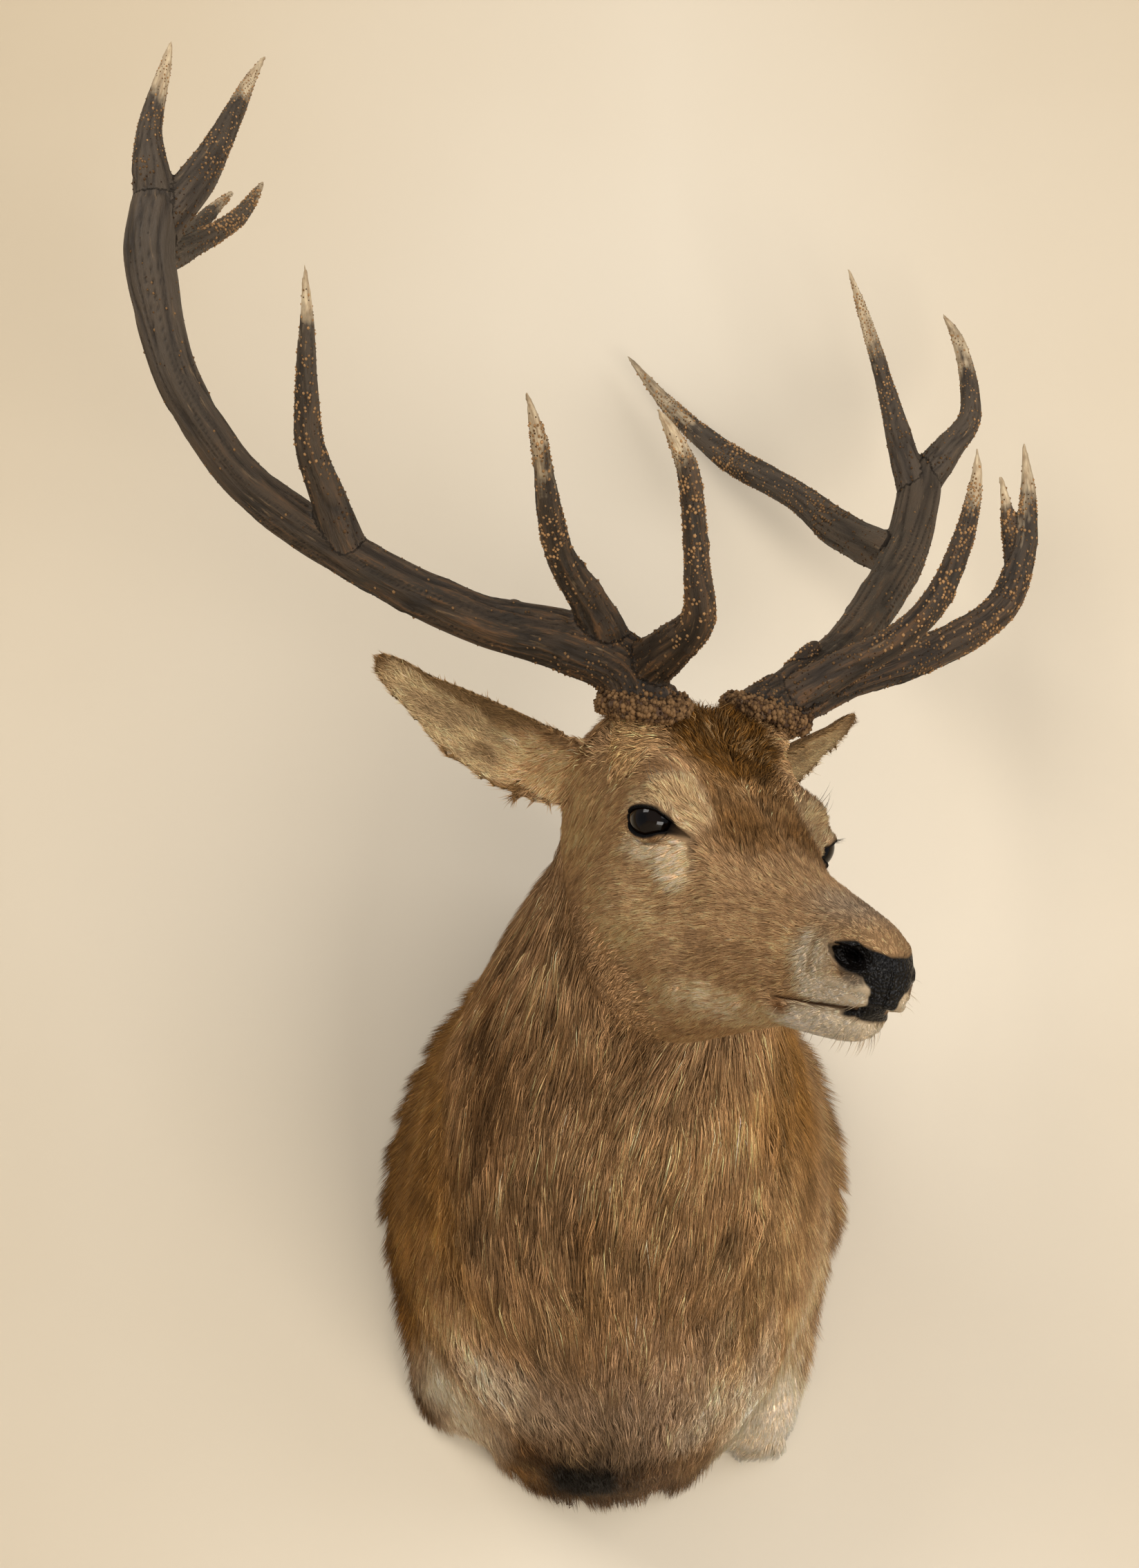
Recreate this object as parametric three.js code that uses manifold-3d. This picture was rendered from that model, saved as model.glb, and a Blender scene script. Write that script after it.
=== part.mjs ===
// Red deer stag head mount: a shoulder mount that hangs on a wall, life size.
//
// Millimetres, +Z up. The wall is the plane y = 0 and the stag looks out along -Y.
// The origin is the centre of the backboard's flat back face.
// Left and right are the stag's own.
//
// The flesh is modelled whole, out to the tips of the coat, and then parted where a
// taxidermist would name its parts. The head is drawn in a frame of its own: x runs
// forward to the nose tip, y to the stag's left, z up through the crown.

import * as THREE from "three";
import { mergeVertices } from "three/addons/utils/BufferGeometryUtils.js";
import Module from "manifold-3d";

const wasm = await Module();
wasm.setup();

// ---------------------------------------------------------------- driving dimensions

const GAP = 0.3; // clearance between neighbouring nodes
const FAR = 3000; // side of the boxes that cut space in two

// Head pose: where the nose tip is, and how the head is turned, nodded and tilted.
const NOSE_TIP = new THREE.Vector3(194, -700, 100);
const HEAD_TURN = 34; // degrees towards +X
const HEAD_NOD = 16; // degrees nose down
const HEAD_TILT = -3; // degrees, left side lower

// Head stations from nose to nape: x, top, bottom, half width, height of the widest line,
// and how square the section is above and below that line (2 is an ellipse).
const HEAD_STATIONS = [
  { x: 0, top: 5, bottom: -18, half: 10, mid: -5, upper: 2.2, lower: 2.2 },
  { x: -5, top: 14, bottom: -29, half: 18, mid: -5, upper: 2.3, lower: 2.3 },
  { x: -16, top: 25, bottom: -36, half: 27, mid: -5, upper: 2.4, lower: 2.5 },
  { x: -40, top: 36, bottom: -38, half: 37, mid: -6, upper: 2.3, lower: 2.6 },
  { x: -80, top: 48, bottom: -40, half: 41, mid: -8, upper: 2.2, lower: 2.6 },
  { x: -105, top: 54, bottom: -54, half: 44, mid: -6, upper: 2.2, lower: 2.2 },
  { x: -135, top: 62, bottom: -66, half: 49, mid: 2, upper: 2.2, lower: 2 },
  { x: -170, top: 75, bottom: -77, half: 58, mid: 18, upper: 2.3, lower: 2 },
  { x: -205, top: 92, bottom: -89, half: 74, mid: 38, upper: 2.6, lower: 1.9 },
  { x: -235, top: 112, bottom: -99, half: 90, mid: 58, upper: 3.2, lower: 1.8 },
  { x: -268, top: 134, bottom: -107, half: 88, mid: 54, upper: 2.8, lower: 1.9 },
  { x: -300, top: 151, bottom: -111, half: 83, mid: 38, upper: 2.3, lower: 2.1 },
  { x: -335, top: 150, bottom: -106, half: 80, mid: 28, upper: 2.1, lower: 2.1 },
  { x: -370, top: 132, bottom: -92, half: 74, mid: 20, upper: 2, lower: 2 },
  { x: -400, top: 100, bottom: -60, half: 60, mid: 20, upper: 2, lower: 2 },
  { x: -418, top: 62, bottom: -16, half: 38, mid: 20, upper: 2, lower: 2 },
];
const HEAD_SIDES = 26;
const HEAD_RINGS = 21;

// Rises and hollows of the head, the same on both sides: the middle, the reach along, across
// and up, and how far the middle is pushed, all in the head frame.
const SWELLINGS = {
  brow: { middle: [-240, 76, 94], reach: [46, 40, 34], push: [5, 5, 9] },
  pedicle_foot: { middle: [-303, 54, 124], reach: [52, 44, 60], push: [0, 5, 24] },
  ear_base: { middle: [-348, 62, 92], reach: [56, 54, 66], push: [0, 15, 24] },
  cheek: { middle: [-262, 78, -16], reach: [72, 50, 62], push: [0, 7, 0] },
  tear_hollow: { middle: [-188, 66, 38], reach: [38, 34, 28], push: [0, -6, -2] },
  nostril_wing: { middle: [-24, 31, 6], reach: [24, 18, 20], push: [0, 3, 1] },
};

// Lower jaw in front of the cheeks: the same sizes.
const JAW_STATIONS = [
  { x: -22, top: -36, bottom: -42, half: 9, mid: -39, upper: 2, lower: 2 },
  { x: -28, top: -30, bottom: -54, half: 21, mid: -39, upper: 2.4, lower: 2 },
  { x: -45, top: -28, bottom: -61, half: 28, mid: -39, upper: 2.4, lower: 2 },
  { x: -75, top: -28, bottom: -62, half: 33, mid: -39, upper: 2.4, lower: 2.1 },
  { x: -105, top: -30, bottom: -64, half: 36, mid: -40, upper: 2.2, lower: 2.1 },
  { x: -140, top: -32, bottom: -62, half: 34, mid: -42, upper: 2.2, lower: 2.1 },
];
const JAW_SIDES = 16;
const JAW_RINGS = 7;
const MOUTH = { height: -37, corner: -92 }; // where the lips meet and where they end

// Nose pad: the bare skin round the nostrils, narrowing to the upper lip. Its outline seen
// from the front is half of [across, up] points, and seen from the side [along, up].
const PAD_FRONT = [
  [15, -60],
  [15, -24],
  [27, -10],
  [36, -4],
  [36, 20],
  [22, 40],
];
const PAD_SIDE = [
  [30, 60],
  [-16, 60],
  [-22, 20],
  [-44, 18],
  [-46, 2],
  [-26, -12],
  [-16, -60],
  [30, -60],
];
const NOSTRIL = { x: -19, y: 27, z: 6, long: 14, wide: 9, high: 7, slant: 20 };

// Eyes, and the almond that the lids leave open round each
const EYE = { x: -234, y: 78, z: 70, radius: 18.5 };
const EYE_OPENING = { long: 25, high: 14.5, deep: 13, ahead: 8, out: 15, turn: 24 };

// Ears, in the head frame with y outward: the root on the skull, the tip, and the way the
// cup opens. The left ear is held a little higher.
const EAR = { width: 71, opens: [0.8, 0.48, -0.36], joint: 30, droop: 9 };
const EAR_ROOT = [-348, 70, 84];
const EAR_TIPS = { left: [-418, 241, 178], right: [-421, 241, 148] };
const EAR_WIDTHS = [0.8, 0.95, 1, 0.98, 0.86, 0.66, 0.42, 0.12]; // shares, root to tip
const EAR_CUPS = [0.14, 0.3, 0.38, 0.34, 0.3, 0.28, 0.26, 0.2]; // depth of the cup, likewise
const EAR_WALLS = [32, 20, 10, 8, 8, 7, 5, 3]; // thickness, likewise
const EAR_SIDES = 7;
const EAR_RINGS = 10;

// Neck and chest stations from the wall to the skull: the nape point, the throat point,
// half the width across, and how far the section is turned towards the way the head looks.
const BODY_STATIONS = [
  { nape: [4, 0, 250], throat: [-18, 0, -296], half: 213, turn: 0 },
  { nape: [4, -60, 257], throat: [-16, -75, -292], half: 203, turn: 0 },
  { nape: [4, -130, 263], throat: [-10, -165, -264], half: 187, turn: 0 },
  { nape: [4, -200, 269], throat: [-4, -255, -206], half: 168, turn: 0 },
  { nape: [5, -265, 276], throat: [0, -330, -125], half: 149, turn: 0 },
  { nape: [12, -325, 285], throat: [4, -385, -40], half: 122, turn: 8 },
  { nape: [22, -375, 298], throat: [14, -418, 30], half: 92, turn: 18 },
  { nape: [24, -420, 312], throat: [22, -440, 84], half: 76, turn: 30 },
  { nape: [36, -455, 296], throat: [44, -478, 110], half: 60, turn: 34 },
];
const BODY_SIDES = 28;
const BODY_RINGS = 14;
// How much narrower the neck is above its middle, and wider below
const BODY_EGG = { above: 0.24, below: 0.1 };
// Half width of the cape's outline on the wall, as a share of the widest, from its foot
// at -1 to its top at +1. It fades into the egg section over the stretch in front.
const SHIELD = [
  [-1, 0],
  [-0.96, 0.34],
  [-0.85, 0.48],
  [-0.72, 0.58],
  [-0.5, 0.78],
  [-0.25, 0.94],
  [0, 1],
  [0.27, 0.95],
  [0.56, 0.785],
  [0.82, 0.51],
  [0.95, 0.27],
  [1, 0],
];
const SHIELD_FADE = 170;

// Shoulders: each ends below in the stub of a foreleg, cut short at the wall. They part from
// the chest at a distance from the middle, below a height and behind a depth.
const SHOULDER = { z: -128, deep: 98 };
const SHOULDERS = {
  left: { x: 125, wide: 52, foot: -268 },
  right: { x: -150, wide: 53, foot: -243 },
};
const SHOULDER_JOINT = { x: 96, z: -70, y: -118 };

// The planes where neck and head, and chest and neck, part: a point, and how far the plane's
// normal rises above the way forward.
const NECK_JOINT = { point: [-350, 0, 5], rise: 34 }; // in the head frame
const CHEST_JOINT = { point: [0, -284, 60], rise: 14 };

// Backboard, let into the cape so that both end flush with the wall
const BOARD = { thick: 18, rim: 18 };

// Antlers. Each path runs outward through points of [x, y, z, radius], measured on its own,
// because the two antlers of one stag are never alike.
const BURR = { radius: 38, height: 18, beads: 9, swell: 0.07 };
const PEDICLE = { root: [-300, 46, 60], radius: 25 };
const TINE_SIDES = 7;
const BEAM_SIDES = 9;
const TINE_STEP = 30; // length of one segment
const BEAM_STEP = 34;
const ANTLERS = {
  right: {
    fork: 0.42, // the beam parts here, as a share of its length
    beam: [
      [11, -524, 332, 26],
      [-4, -530, 363, 27],
      [-46, -538, 382, 25],
      [-115, -546, 399, 20.5],
      [-199, -553, 436, 18.5],
      [-254, -560, 470, 19],
      [-300, -567, 504, 17.5],
      [-334, -576, 546, 17.5],
      [-359, -581, 593, 18],
      [-375, -581, 655, 20],
      [-380, -580, 692, 21.5],
      [-377, -576, 729, 20],
    ],
    tines: {
      brow: [
        [8, -528, 362, 22],
        [32, -570, 372, 18],
        [52, -610, 386, 14],
        [50, -640, 419, 10.5],
        [42, -680, 484, 8.7],
        [30, -695, 509, 5.6],
        [19, -702, 526, 1.6],
      ],
      bez: [
        [-13, -532, 378, 20],
        [-32, -570, 408, 15],
        [-53, -610, 433, 12],
        [-63, -650, 463, 9.5],
        [-70, -692, 504, 6.6],
        [-79, -712, 535, 1.6],
      ],
      trez: [
        [-222, -556, 450, 18],
        [-236, -585, 488, 14],
        [-248, -618, 522, 12],
        [-249, -645, 556, 9.8],
        [-247, -680, 612, 4.6],
        [-248, -692, 641, 1.6],
      ],
      crown_outer: [
        [-376, -575, 728, 20],
        [-382, -578, 767, 13.5],
        [-382, -581, 793, 10.5],
        [-370, -588, 841, 5],
        [-365, -592, 860, 1.8],
      ],
      crown_inner: [
        [-374, -574, 712, 19],
        [-344, -562, 760, 15],
        [-330, -548, 793, 11.6],
        [-308, -520, 858, 4.8],
        [-298, -508, 882, 1.8],
      ],
      crown_back: [
        [-375, -570, 685, 14],
        [-354, -520, 715, 10],
        [-325, -440, 767, 8],
        [-310, -375, 821, 2.2],
      ],
      crown_back_fork: [
        [-357, -520, 716, 9],
        [-352, -450, 762, 7.4],
        [-340, -345, 823, 2.4],
      ],
    },
  },
  left: {
    fork: 0.56,
    beam: [
      [112, -451, 338, 25],
      [135, -437, 366, 19],
      [157, -410, 387, 18],
      [188, -360, 419, 19.2],
      [211, -305, 458, 20.2],
      [250, -210, 533, 20.8],
      [270, -160, 599, 20],
      [273, -150, 621, 20],
    ],
    tines: {
      brow: [
        [126, -446, 352, 20],
        [168, -450, 376, 15.5],
        [222, -463, 404, 12.3],
        [249, -475, 430, 11.6],
        [272, -487, 482, 9],
        [283, -490, 529, 4.9],
        [284, -490, 553, 1.6],
      ],
      bez: [
        [134, -442, 352, 20],
        [183, -430, 373, 14],
        [250, -416, 400, 15],
        [312, -400, 443, 14.7],
        [334, -392, 500, 10.5],
        [338, -391, 545, 6.6],
        [335, -395, 584, 1.6],
      ],
      bez_fork: [
        [327, -394, 470, 11],
        [323, -390, 509, 7.7],
        [315, -395, 556, 1.8],
      ],
      crown_outer: [
        [272, -152, 612, 19],
        [296, -146, 646, 14.3],
        [319, -142, 676, 11],
        [321, -141, 704, 8.7],
        [311, -144, 752, 6],
        [297, -148, 777, 1.6],
      ],
      crown_inner: [
        [268, -158, 607, 18],
        [257, -156, 644, 13],
        [240, -162, 710, 8.3],
        [222, -170, 769, 5.4],
        [208, -176, 811, 1.6],
      ],
      back: [
        [243, -205, 532, 20],
        [196, -130, 580, 17.5],
        [165, -105, 614, 14],
        [102, -68, 663, 13],
        [50, -40, 718, 8.4],
        [9, -28, 773, 1.8],
      ],
      stub: [
        [130, -434, 370, 12],
        [146, -427, 392, 9],
        [156, -422, 406, 5],
      ],
    },
  },
};

// ---------------------------------------------------------------- materials

const paint = (color, roughness) => new THREE.MeshStandardMaterial({ color, roughness, metalness: 0 });
const material = {
  face: paint(0x8a6f52, 0.9),
  jaw: paint(0xb8a88e, 0.9),
  neck: paint(0x7a6046, 0.95),
  chest: paint(0x86705a, 0.95),
  shoulder: paint(0x8e7c68, 0.95),
  pad: paint(0x16161a, 0.35),
  ear: paint(0xa98c66, 0.9),
  eye: paint(0x120c08, 0.05),
  antler: paint(0x2e2219, 0.6),
  burr: paint(0x4a3422, 0.75),
  plywood: paint(0xb7935f, 0.7),
};

// ---------------------------------------------------------------- joining and cutting

/** The solid of a closed geometry, whichever way its faces were wound. */
function solidOf(geometry) {
  const bare = geometry.clone();
  bare.deleteAttribute("normal");
  bare.deleteAttribute("uv");
  const merged = mergeVertices(bare, 1e-4);
  const make = (triVerts) =>
    new wasm.Manifold(
      new wasm.Mesh({ numProp: 3, vertProperties: merged.attributes.position.array, triVerts }),
    );
  const triVerts = new Uint32Array(merged.index.array);
  const solid = make(triVerts);
  return solid.volume() > 0 ? solid : make(triVerts.slice().reverse());
}

function geometryOf(solid) {
  const mesh = solid.getMesh();
  const geometry = new THREE.BufferGeometry();
  geometry.setAttribute("position", new THREE.BufferAttribute(mesh.vertProperties, 3));
  geometry.setIndex(new THREE.BufferAttribute(mesh.triVerts, 1));
  geometry.computeVertexNormals();
  return geometry;
}

/** Everything on the side of a plane that its normal points to. */
function halfSpace(point, normal, shift = 0) {
  const box = new THREE.BoxGeometry(FAR, FAR, FAR);
  const turn = new THREE.Quaternion().setFromUnitVectors(new THREE.Vector3(0, 0, 1), normal);
  const centre = point.clone().addScaledVector(normal, FAR / 2 + shift);
  box.applyMatrix4(new THREE.Matrix4().compose(centre, turn, new THREE.Vector3(1, 1, 1)));
  return solidOf(box);
}

/** Cuts a solid at a plane: first the piece its normal points to, then the rest. */
function cutAt(solid, point, normal) {
  return [
    solid.intersect(halfSpace(point, normal, GAP / 2)),
    solid.intersect(halfSpace(point, normal.clone().negate(), GAP / 2)),
  ];
}

/** Takes a piece out of a solid with a tool that can be grown: the piece, then the rest. */
function takeOut(solid, tool) {
  return [solid.intersect(tool(0)), solid.subtract(tool(GAP))];
}

/** The largest body of a solid, without the crumbs that a cut may leave. */
function largest(solid) {
  return solid.decompose().reduce((a, b) => (a.volume() > b.volume() ? a : b));
}

// ---------------------------------------------------------------- shapes

/** A closed skin over a row of rings of equally many points. */
function loft(rings) {
  const sides = rings[0].length;
  const last = (rings.length - 1) * sides;
  const positions = rings.flat().flatMap((p) => p.toArray());
  const index = [];
  for (let ring = 0; ring < last; ring += sides) {
    for (let j = 0; j < sides; j++) {
      const a = ring + j;
      const b = ring + ((j + 1) % sides);
      index.push(a, b, b + sides, a, b + sides, a + sides);
    }
  }
  for (const start of [0, last]) {
    const centre = positions.length / 3;
    const ring = start ? rings.at(-1) : rings[0];
    const middle = ring.reduce((sum, p) => sum.add(p), new THREE.Vector3()).divideScalar(sides);
    positions.push(...middle.toArray());
    for (let j = 0; j < sides; j++) {
      const a = start + j;
      const b = start + ((j + 1) % sides);
      index.push(...(start ? [centre, a, b] : [centre, b, a]));
    }
  }
  const geometry = new THREE.BufferGeometry();
  geometry.setAttribute("position", new THREE.Float32BufferAttribute(positions, 3));
  geometry.setIndex(index);
  return geometry;
}

const smoothCurve = (points) => new THREE.CatmullRomCurve3(points, false, "centripetal");

/** A smooth run through one value for each station, as a function of 0 to 1. */
function along(values) {
  const curve = smoothCurve(values.map((v, i) => new THREE.Vector3(i, v, 0)));
  return (t) => curve.getPoint(t).y;
}

/** A smooth path through points, as a function of 0 to 1. */
function pathThrough(points) {
  const curve = smoothCurve(points.map((p) => new THREE.Vector3(...p)));
  return (t) => curve.getPoint(t);
}

const signedPower = (v, power) => Math.sign(v) * Math.abs(v) ** power;

const steps = (count) => Array.from({ length: count }, (_, i) => i / (count - 1));

const turns = (count) => Array.from({ length: count }, (_, i) => (i / count) * 2 * Math.PI);

/** A point after every swelling near it has pushed it. */
function swollen(point, swellings) {
  const side = Math.sign(point.y);
  const moved = point.clone();
  for (const { middle, reach, push } of swellings) {
    const [dx, dy, dz] = [point.x - middle[0], side * point.y - middle[1], point.z - middle[2]];
    const distance = Math.hypot(dx / reach[0], dy / reach[1], dz / reach[2]);
    const share = Math.max(0, 1 - distance ** 2) ** 2;
    moved.add(new THREE.Vector3(push[0], side * push[1], push[2]).multiplyScalar(share));
  }
  return moved;
}

/** A skin over stations that each give the sizes of one cross-section. */
function stationLoft(stations, ringCount, sides, swellings = []) {
  const keys = Object.keys(stations[0]);
  const at = Object.fromEntries(keys.map((key) => [key, along(stations.map((s) => s[key]))]));
  const rings = steps(ringCount).map((t) =>
    turns(sides).map((angle) => {
      const up = Math.sin(angle);
      const square = up > 0 ? at.upper(t) : at.lower(t);
      const reach = up > 0 ? at.top(t) - at.mid(t) : at.mid(t) - at.bottom(t);
      const point = new THREE.Vector3(
        at.x(t),
        at.half(t) * signedPower(Math.cos(angle), 2 / square),
        at.mid(t) + reach * signedPower(up, 2 / square),
      );
      return swollen(point, swellings);
    }),
  );
  return loft(rings);
}

/** An ellipsoid of three radii about a centre. */
function ellipsoid(radii, centre, around = 12, rows = 7) {
  return new THREE.SphereGeometry(1, around, rows).scale(...radii).translate(...centre);
}

/** A round bar through points of [x, y, z, radius]. */
function taperedBar(points, step, sides, grow = 0) {
  const curve = smoothCurve(points.map(([x, y, z]) => new THREE.Vector3(x, y, z)));
  const radius = along(points.map((p) => p[3]));
  const segments = Math.max(2, Math.round(curve.getLength() / step));
  const { normals, binormals } = curve.computeFrenetFrames(segments);
  const rings = curve.getSpacedPoints(segments).map((centre, i) => {
    const reach = radius(curve.getUtoTmapping(i / segments)) + grow;
    return turns(sides).map((angle) =>
      centre
        .clone()
        .addScaledVector(normals[i], Math.cos(angle) * reach)
        .addScaledVector(binormals[i], Math.sin(angle) * reach),
    );
  });
  return solidOf(loft(rings));
}

// ---------------------------------------------------------------- head frame

const radians = THREE.MathUtils.degToRad;

const HEAD_FRAME = (() => {
  const [turn, nod, tilt] = [HEAD_TURN, HEAD_NOD, HEAD_TILT].map(radians);
  const forward = new THREE.Vector3(
    Math.sin(turn) * Math.cos(nod),
    -Math.cos(turn) * Math.cos(nod),
    -Math.sin(nod),
  );
  const left = new THREE.Vector3(Math.cos(turn), Math.sin(turn), 0).applyAxisAngle(forward, tilt);
  const up = forward.clone().cross(left);
  return new THREE.Matrix4().makeBasis(forward, left, up).setPosition(NOSE_TIP);
})();

const inHead = (geometry) => solidOf(geometry.applyMatrix4(HEAD_FRAME));
const headPoint = (x, y, z) => new THREE.Vector3(x, y, z).applyMatrix4(HEAD_FRAME);
const headDirection = (x, y, z) => new THREE.Vector3(x, y, z).transformDirection(HEAD_FRAME);

// Which way y runs on each side of the head
const SIDES = { left: 1, right: -1 };

// ---------------------------------------------------------------- head

function skullForm() {
  const swellings = Object.values(SWELLINGS);
  const skull = inHead(stationLoft(HEAD_STATIONS, HEAD_RINGS, HEAD_SIDES, swellings));
  return skull.add(inHead(stationLoft(JAW_STATIONS, JAW_RINGS, JAW_SIDES)));
}

/** One ear: a cup whose wall is a crescent in every section. */
function earForm(name) {
  const side = SIDES[name];
  const root = new THREE.Vector3(EAR_ROOT[0], side * EAR_ROOT[1], EAR_ROOT[2]);
  const tip = new THREE.Vector3(EAR_TIPS[name][0], side * EAR_TIPS[name][1], EAR_TIPS[name][2]);
  const axis = tip.clone().sub(root);
  const length = axis.length();
  axis.normalize();
  const opens = new THREE.Vector3(EAR.opens[0], side * EAR.opens[1], EAR.opens[2]);
  opens.addScaledVector(axis, -opens.dot(axis)).normalize();
  const down = axis.clone().cross(opens).multiplyScalar(side);
  const width = along(EAR_WIDTHS);
  const cup = along(EAR_CUPS);
  const thick = along(EAR_WALLS);
  const arc = steps(EAR_SIDES).map((share) => (share - 0.5) * Math.PI);
  const rings = steps(EAR_RINGS).map((t) => {
    const half = (EAR.width / 2) * width(t);
    const sink = 2 * half * cup(t);
    const centre = root
      .clone()
      .addScaledVector(axis, t * length)
      .addScaledVector(down, EAR.droop * Math.sin(Math.PI * t))
      .addScaledVector(opens, half * cup(t));
    const point = (angle, reach, depth) =>
      centre
        .clone()
        .addScaledVector(down, Math.sin(angle) * reach)
        .addScaledVector(opens, -Math.cos(angle) * depth);
    const outer = arc.map((angle) => point(angle, half, sink + thick(t)));
    const inner = arc.slice(1, -1).map((angle) => point(angle, half, sink));
    return [...outer, ...inner.reverse()];
  });
  return {
    form: inHead(loft(rings)),
    joint: headPoint(...root.clone().addScaledVector(axis, EAR.joint)),
    axis: axis.transformDirection(HEAD_FRAME),
  };
}

function eyeball(side, grow) {
  const ball = new THREE.SphereGeometry(EYE.radius + grow, 12, 8);
  return inHead(ball.translate(EYE.x, side * EYE.y, EYE.z));
}

/** The almond that the lids leave open, turned a little forward of sideways. */
function eyeOpening(side) {
  const { long, high, deep, ahead, out, turn } = EYE_OPENING;
  const almond = new THREE.SphereGeometry(1, 12, 6).scale(long, deep, high);
  almond.rotateZ(-side * radians(turn));
  return inHead(almond.translate(EYE.x + ahead, side * (EYE.y + out), EYE.z));
}

/** An outline with every corner moved out, so that each side lies further out by `grow`. */
function grownOutline(corners, grow) {
  const points = corners.map(([x, y]) => new THREE.Vector2(x, y));
  const winding = THREE.ShapeUtils.isClockWise(points) ? -1 : 1;
  const outward = points.map((p, i) => {
    const side = points[(i + 1) % points.length].clone().sub(p).normalize();
    return new THREE.Vector2(side.y, -side.x).multiplyScalar(winding);
  });
  const moved = points.map((p, i) => {
    const before = outward.at(i - 1);
    const bend = before.clone().add(outward[i]);
    return p.clone().addScaledVector(bend, grow / (1 + before.dot(outward[i])));
  });
  return new THREE.Shape(moved);
}

/** Where a front outline and a side outline both reach: the tool that takes the pad out. */
function padTool(grow) {
  const wide = 2 * Math.max(...PAD_FRONT.map(([y]) => y));
  const long = PAD_SIDE[0][0] - Math.min(...PAD_SIDE.map(([x]) => x));
  const front = [...PAD_FRONT, ...PAD_FRONT.map(([y, z]) => [-y, z]).reverse()];
  const prism = (outline, depth) =>
    new THREE.ExtrudeGeometry(grownOutline(outline, grow), { depth: 2 * depth, bevelEnabled: false });
  const facingForward = new THREE.Matrix4().makeBasis(
    new THREE.Vector3(0, 1, 0),
    new THREE.Vector3(0, 0, 1),
    new THREE.Vector3(1, 0, 0),
  );
  const fromFront = prism(front, long).translate(0, 0, -long).applyMatrix4(facingForward);
  const fromSide = prism(PAD_SIDE, wide).translate(0, 0, -wide).rotateX(Math.PI / 2);
  return inHead(fromFront).intersect(inHead(fromSide));
}

function nostril(side) {
  const pit = new THREE.SphereGeometry(1, 10, 6).scale(NOSTRIL.long, NOSTRIL.wide, NOSTRIL.high);
  pit.rotateY(radians(NOSTRIL.slant));
  return inHead(pit.translate(NOSTRIL.x, side * NOSTRIL.y, NOSTRIL.z));
}

/** The block that takes the chin and the lower lip off below the mouth. */
function jawTool(grow) {
  const [long, wide, high] = [160, 200, 60];
  const block = new THREE.BoxGeometry(long, wide, high);
  return inHead(
    block.translate(MOUTH.corner - grow + long / 2, 0, MOUTH.height + grow - high / 2),
  );
}

// ---------------------------------------------------------------- neck, chest, shoulders

/** Outline of the cape on the wall at an angle round it: [half width, height], as shares. */
function shieldAt(angle) {
  const curve = smoothCurve(SHIELD.map(([v, w]) => new THREE.Vector3(w, v, 0)));
  const middle = SHIELD.findIndex(([v]) => v === 0) / (SHIELD.length - 1);
  const quarter = Math.asin(Math.sin(angle)) / (Math.PI / 2);
  const share = quarter > 0 ? middle + quarter * (1 - middle) : middle * (1 + quarter);
  const { x, y } = curve.getPoint(share);
  return [Math.sign(Math.cos(angle)) * x, y];
}

function bodyForm() {
  const nape = pathThrough(BODY_STATIONS.map((s) => s.nape));
  const throat = pathThrough(BODY_STATIONS.map((s) => s.throat));
  const half = along(BODY_STATIONS.map((s) => s.half));
  const turn = along(BODY_STATIONS.map((s) => s.turn));
  const rings = steps(BODY_RINGS).map((t) => {
    const top = nape(t);
    const bottom = throat(t);
    const centre = top.clone().add(bottom).divideScalar(2);
    const up = top.clone().sub(bottom).divideScalar(2);
    const across = new THREE.Vector3(Math.cos(radians(turn(t))), Math.sin(radians(turn(t))), 0);
    const fade = THREE.MathUtils.smoothstep(-centre.y, 0, SHIELD_FADE);
    return turns(BODY_SIDES).map((angle) => {
      const [shieldWidth, shieldHeight] = shieldAt(angle);
      const height = Math.sin(angle);
      const egg = height > 0 ? BODY_EGG.above : BODY_EGG.below;
      const eggWidth = Math.cos(angle) * (1 - egg * height);
      return centre
        .clone()
        .addScaledVector(across, half(t) * THREE.MathUtils.lerp(shieldWidth, eggWidth, fade))
        .addScaledVector(up, THREE.MathUtils.lerp(shieldHeight, Math.sin(angle), fade));
    });
  });
  return solidOf(loft(rings));
}

function shoulderForm(name) {
  const { x, wide, foot } = SHOULDERS[name];
  return solidOf(ellipsoid([wide, SHOULDER.deep, SHOULDER.z - foot], [x, 0, SHOULDER.z], 16, 10));
}

/** The block that takes a shoulder off the chest. */
function shoulderTool(name, grow) {
  const side = Math.sign(SHOULDERS[name].x);
  const { x, y, z } = SHOULDER_JOINT;
  const block = new THREE.BoxGeometry(FAR, FAR, FAR);
  block.translate(side * (x - grow + FAR / 2), y - grow + FAR / 2, z + grow - FAR / 2);
  return solidOf(block);
}

/** The backboard: the cape's outline on the wall, less a rim. */
function backboard(grow) {
  const { nape, throat, half } = BODY_STATIONS[0];
  const middle = (nape[2] + throat[2]) / 2;
  const high = (nape[2] - throat[2]) / 2 - BOARD.rim + grow;
  const wide = half - BOARD.rim + grow;
  const lean = (throat[0] - nape[0]) / 2;
  const corners = turns(BODY_SIDES).map((angle) => {
    const [w, v] = shieldAt(angle);
    return new THREE.Vector2(lean * (1 - v) + wide * w, middle + high * v);
  });
  const depth = BOARD.thick + grow;
  const board = new THREE.ExtrudeGeometry(new THREE.Shape(corners), { depth, bevelEnabled: false });
  return solidOf(board.rotateX(Math.PI / 2));
}

// ---------------------------------------------------------------- antlers

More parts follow.
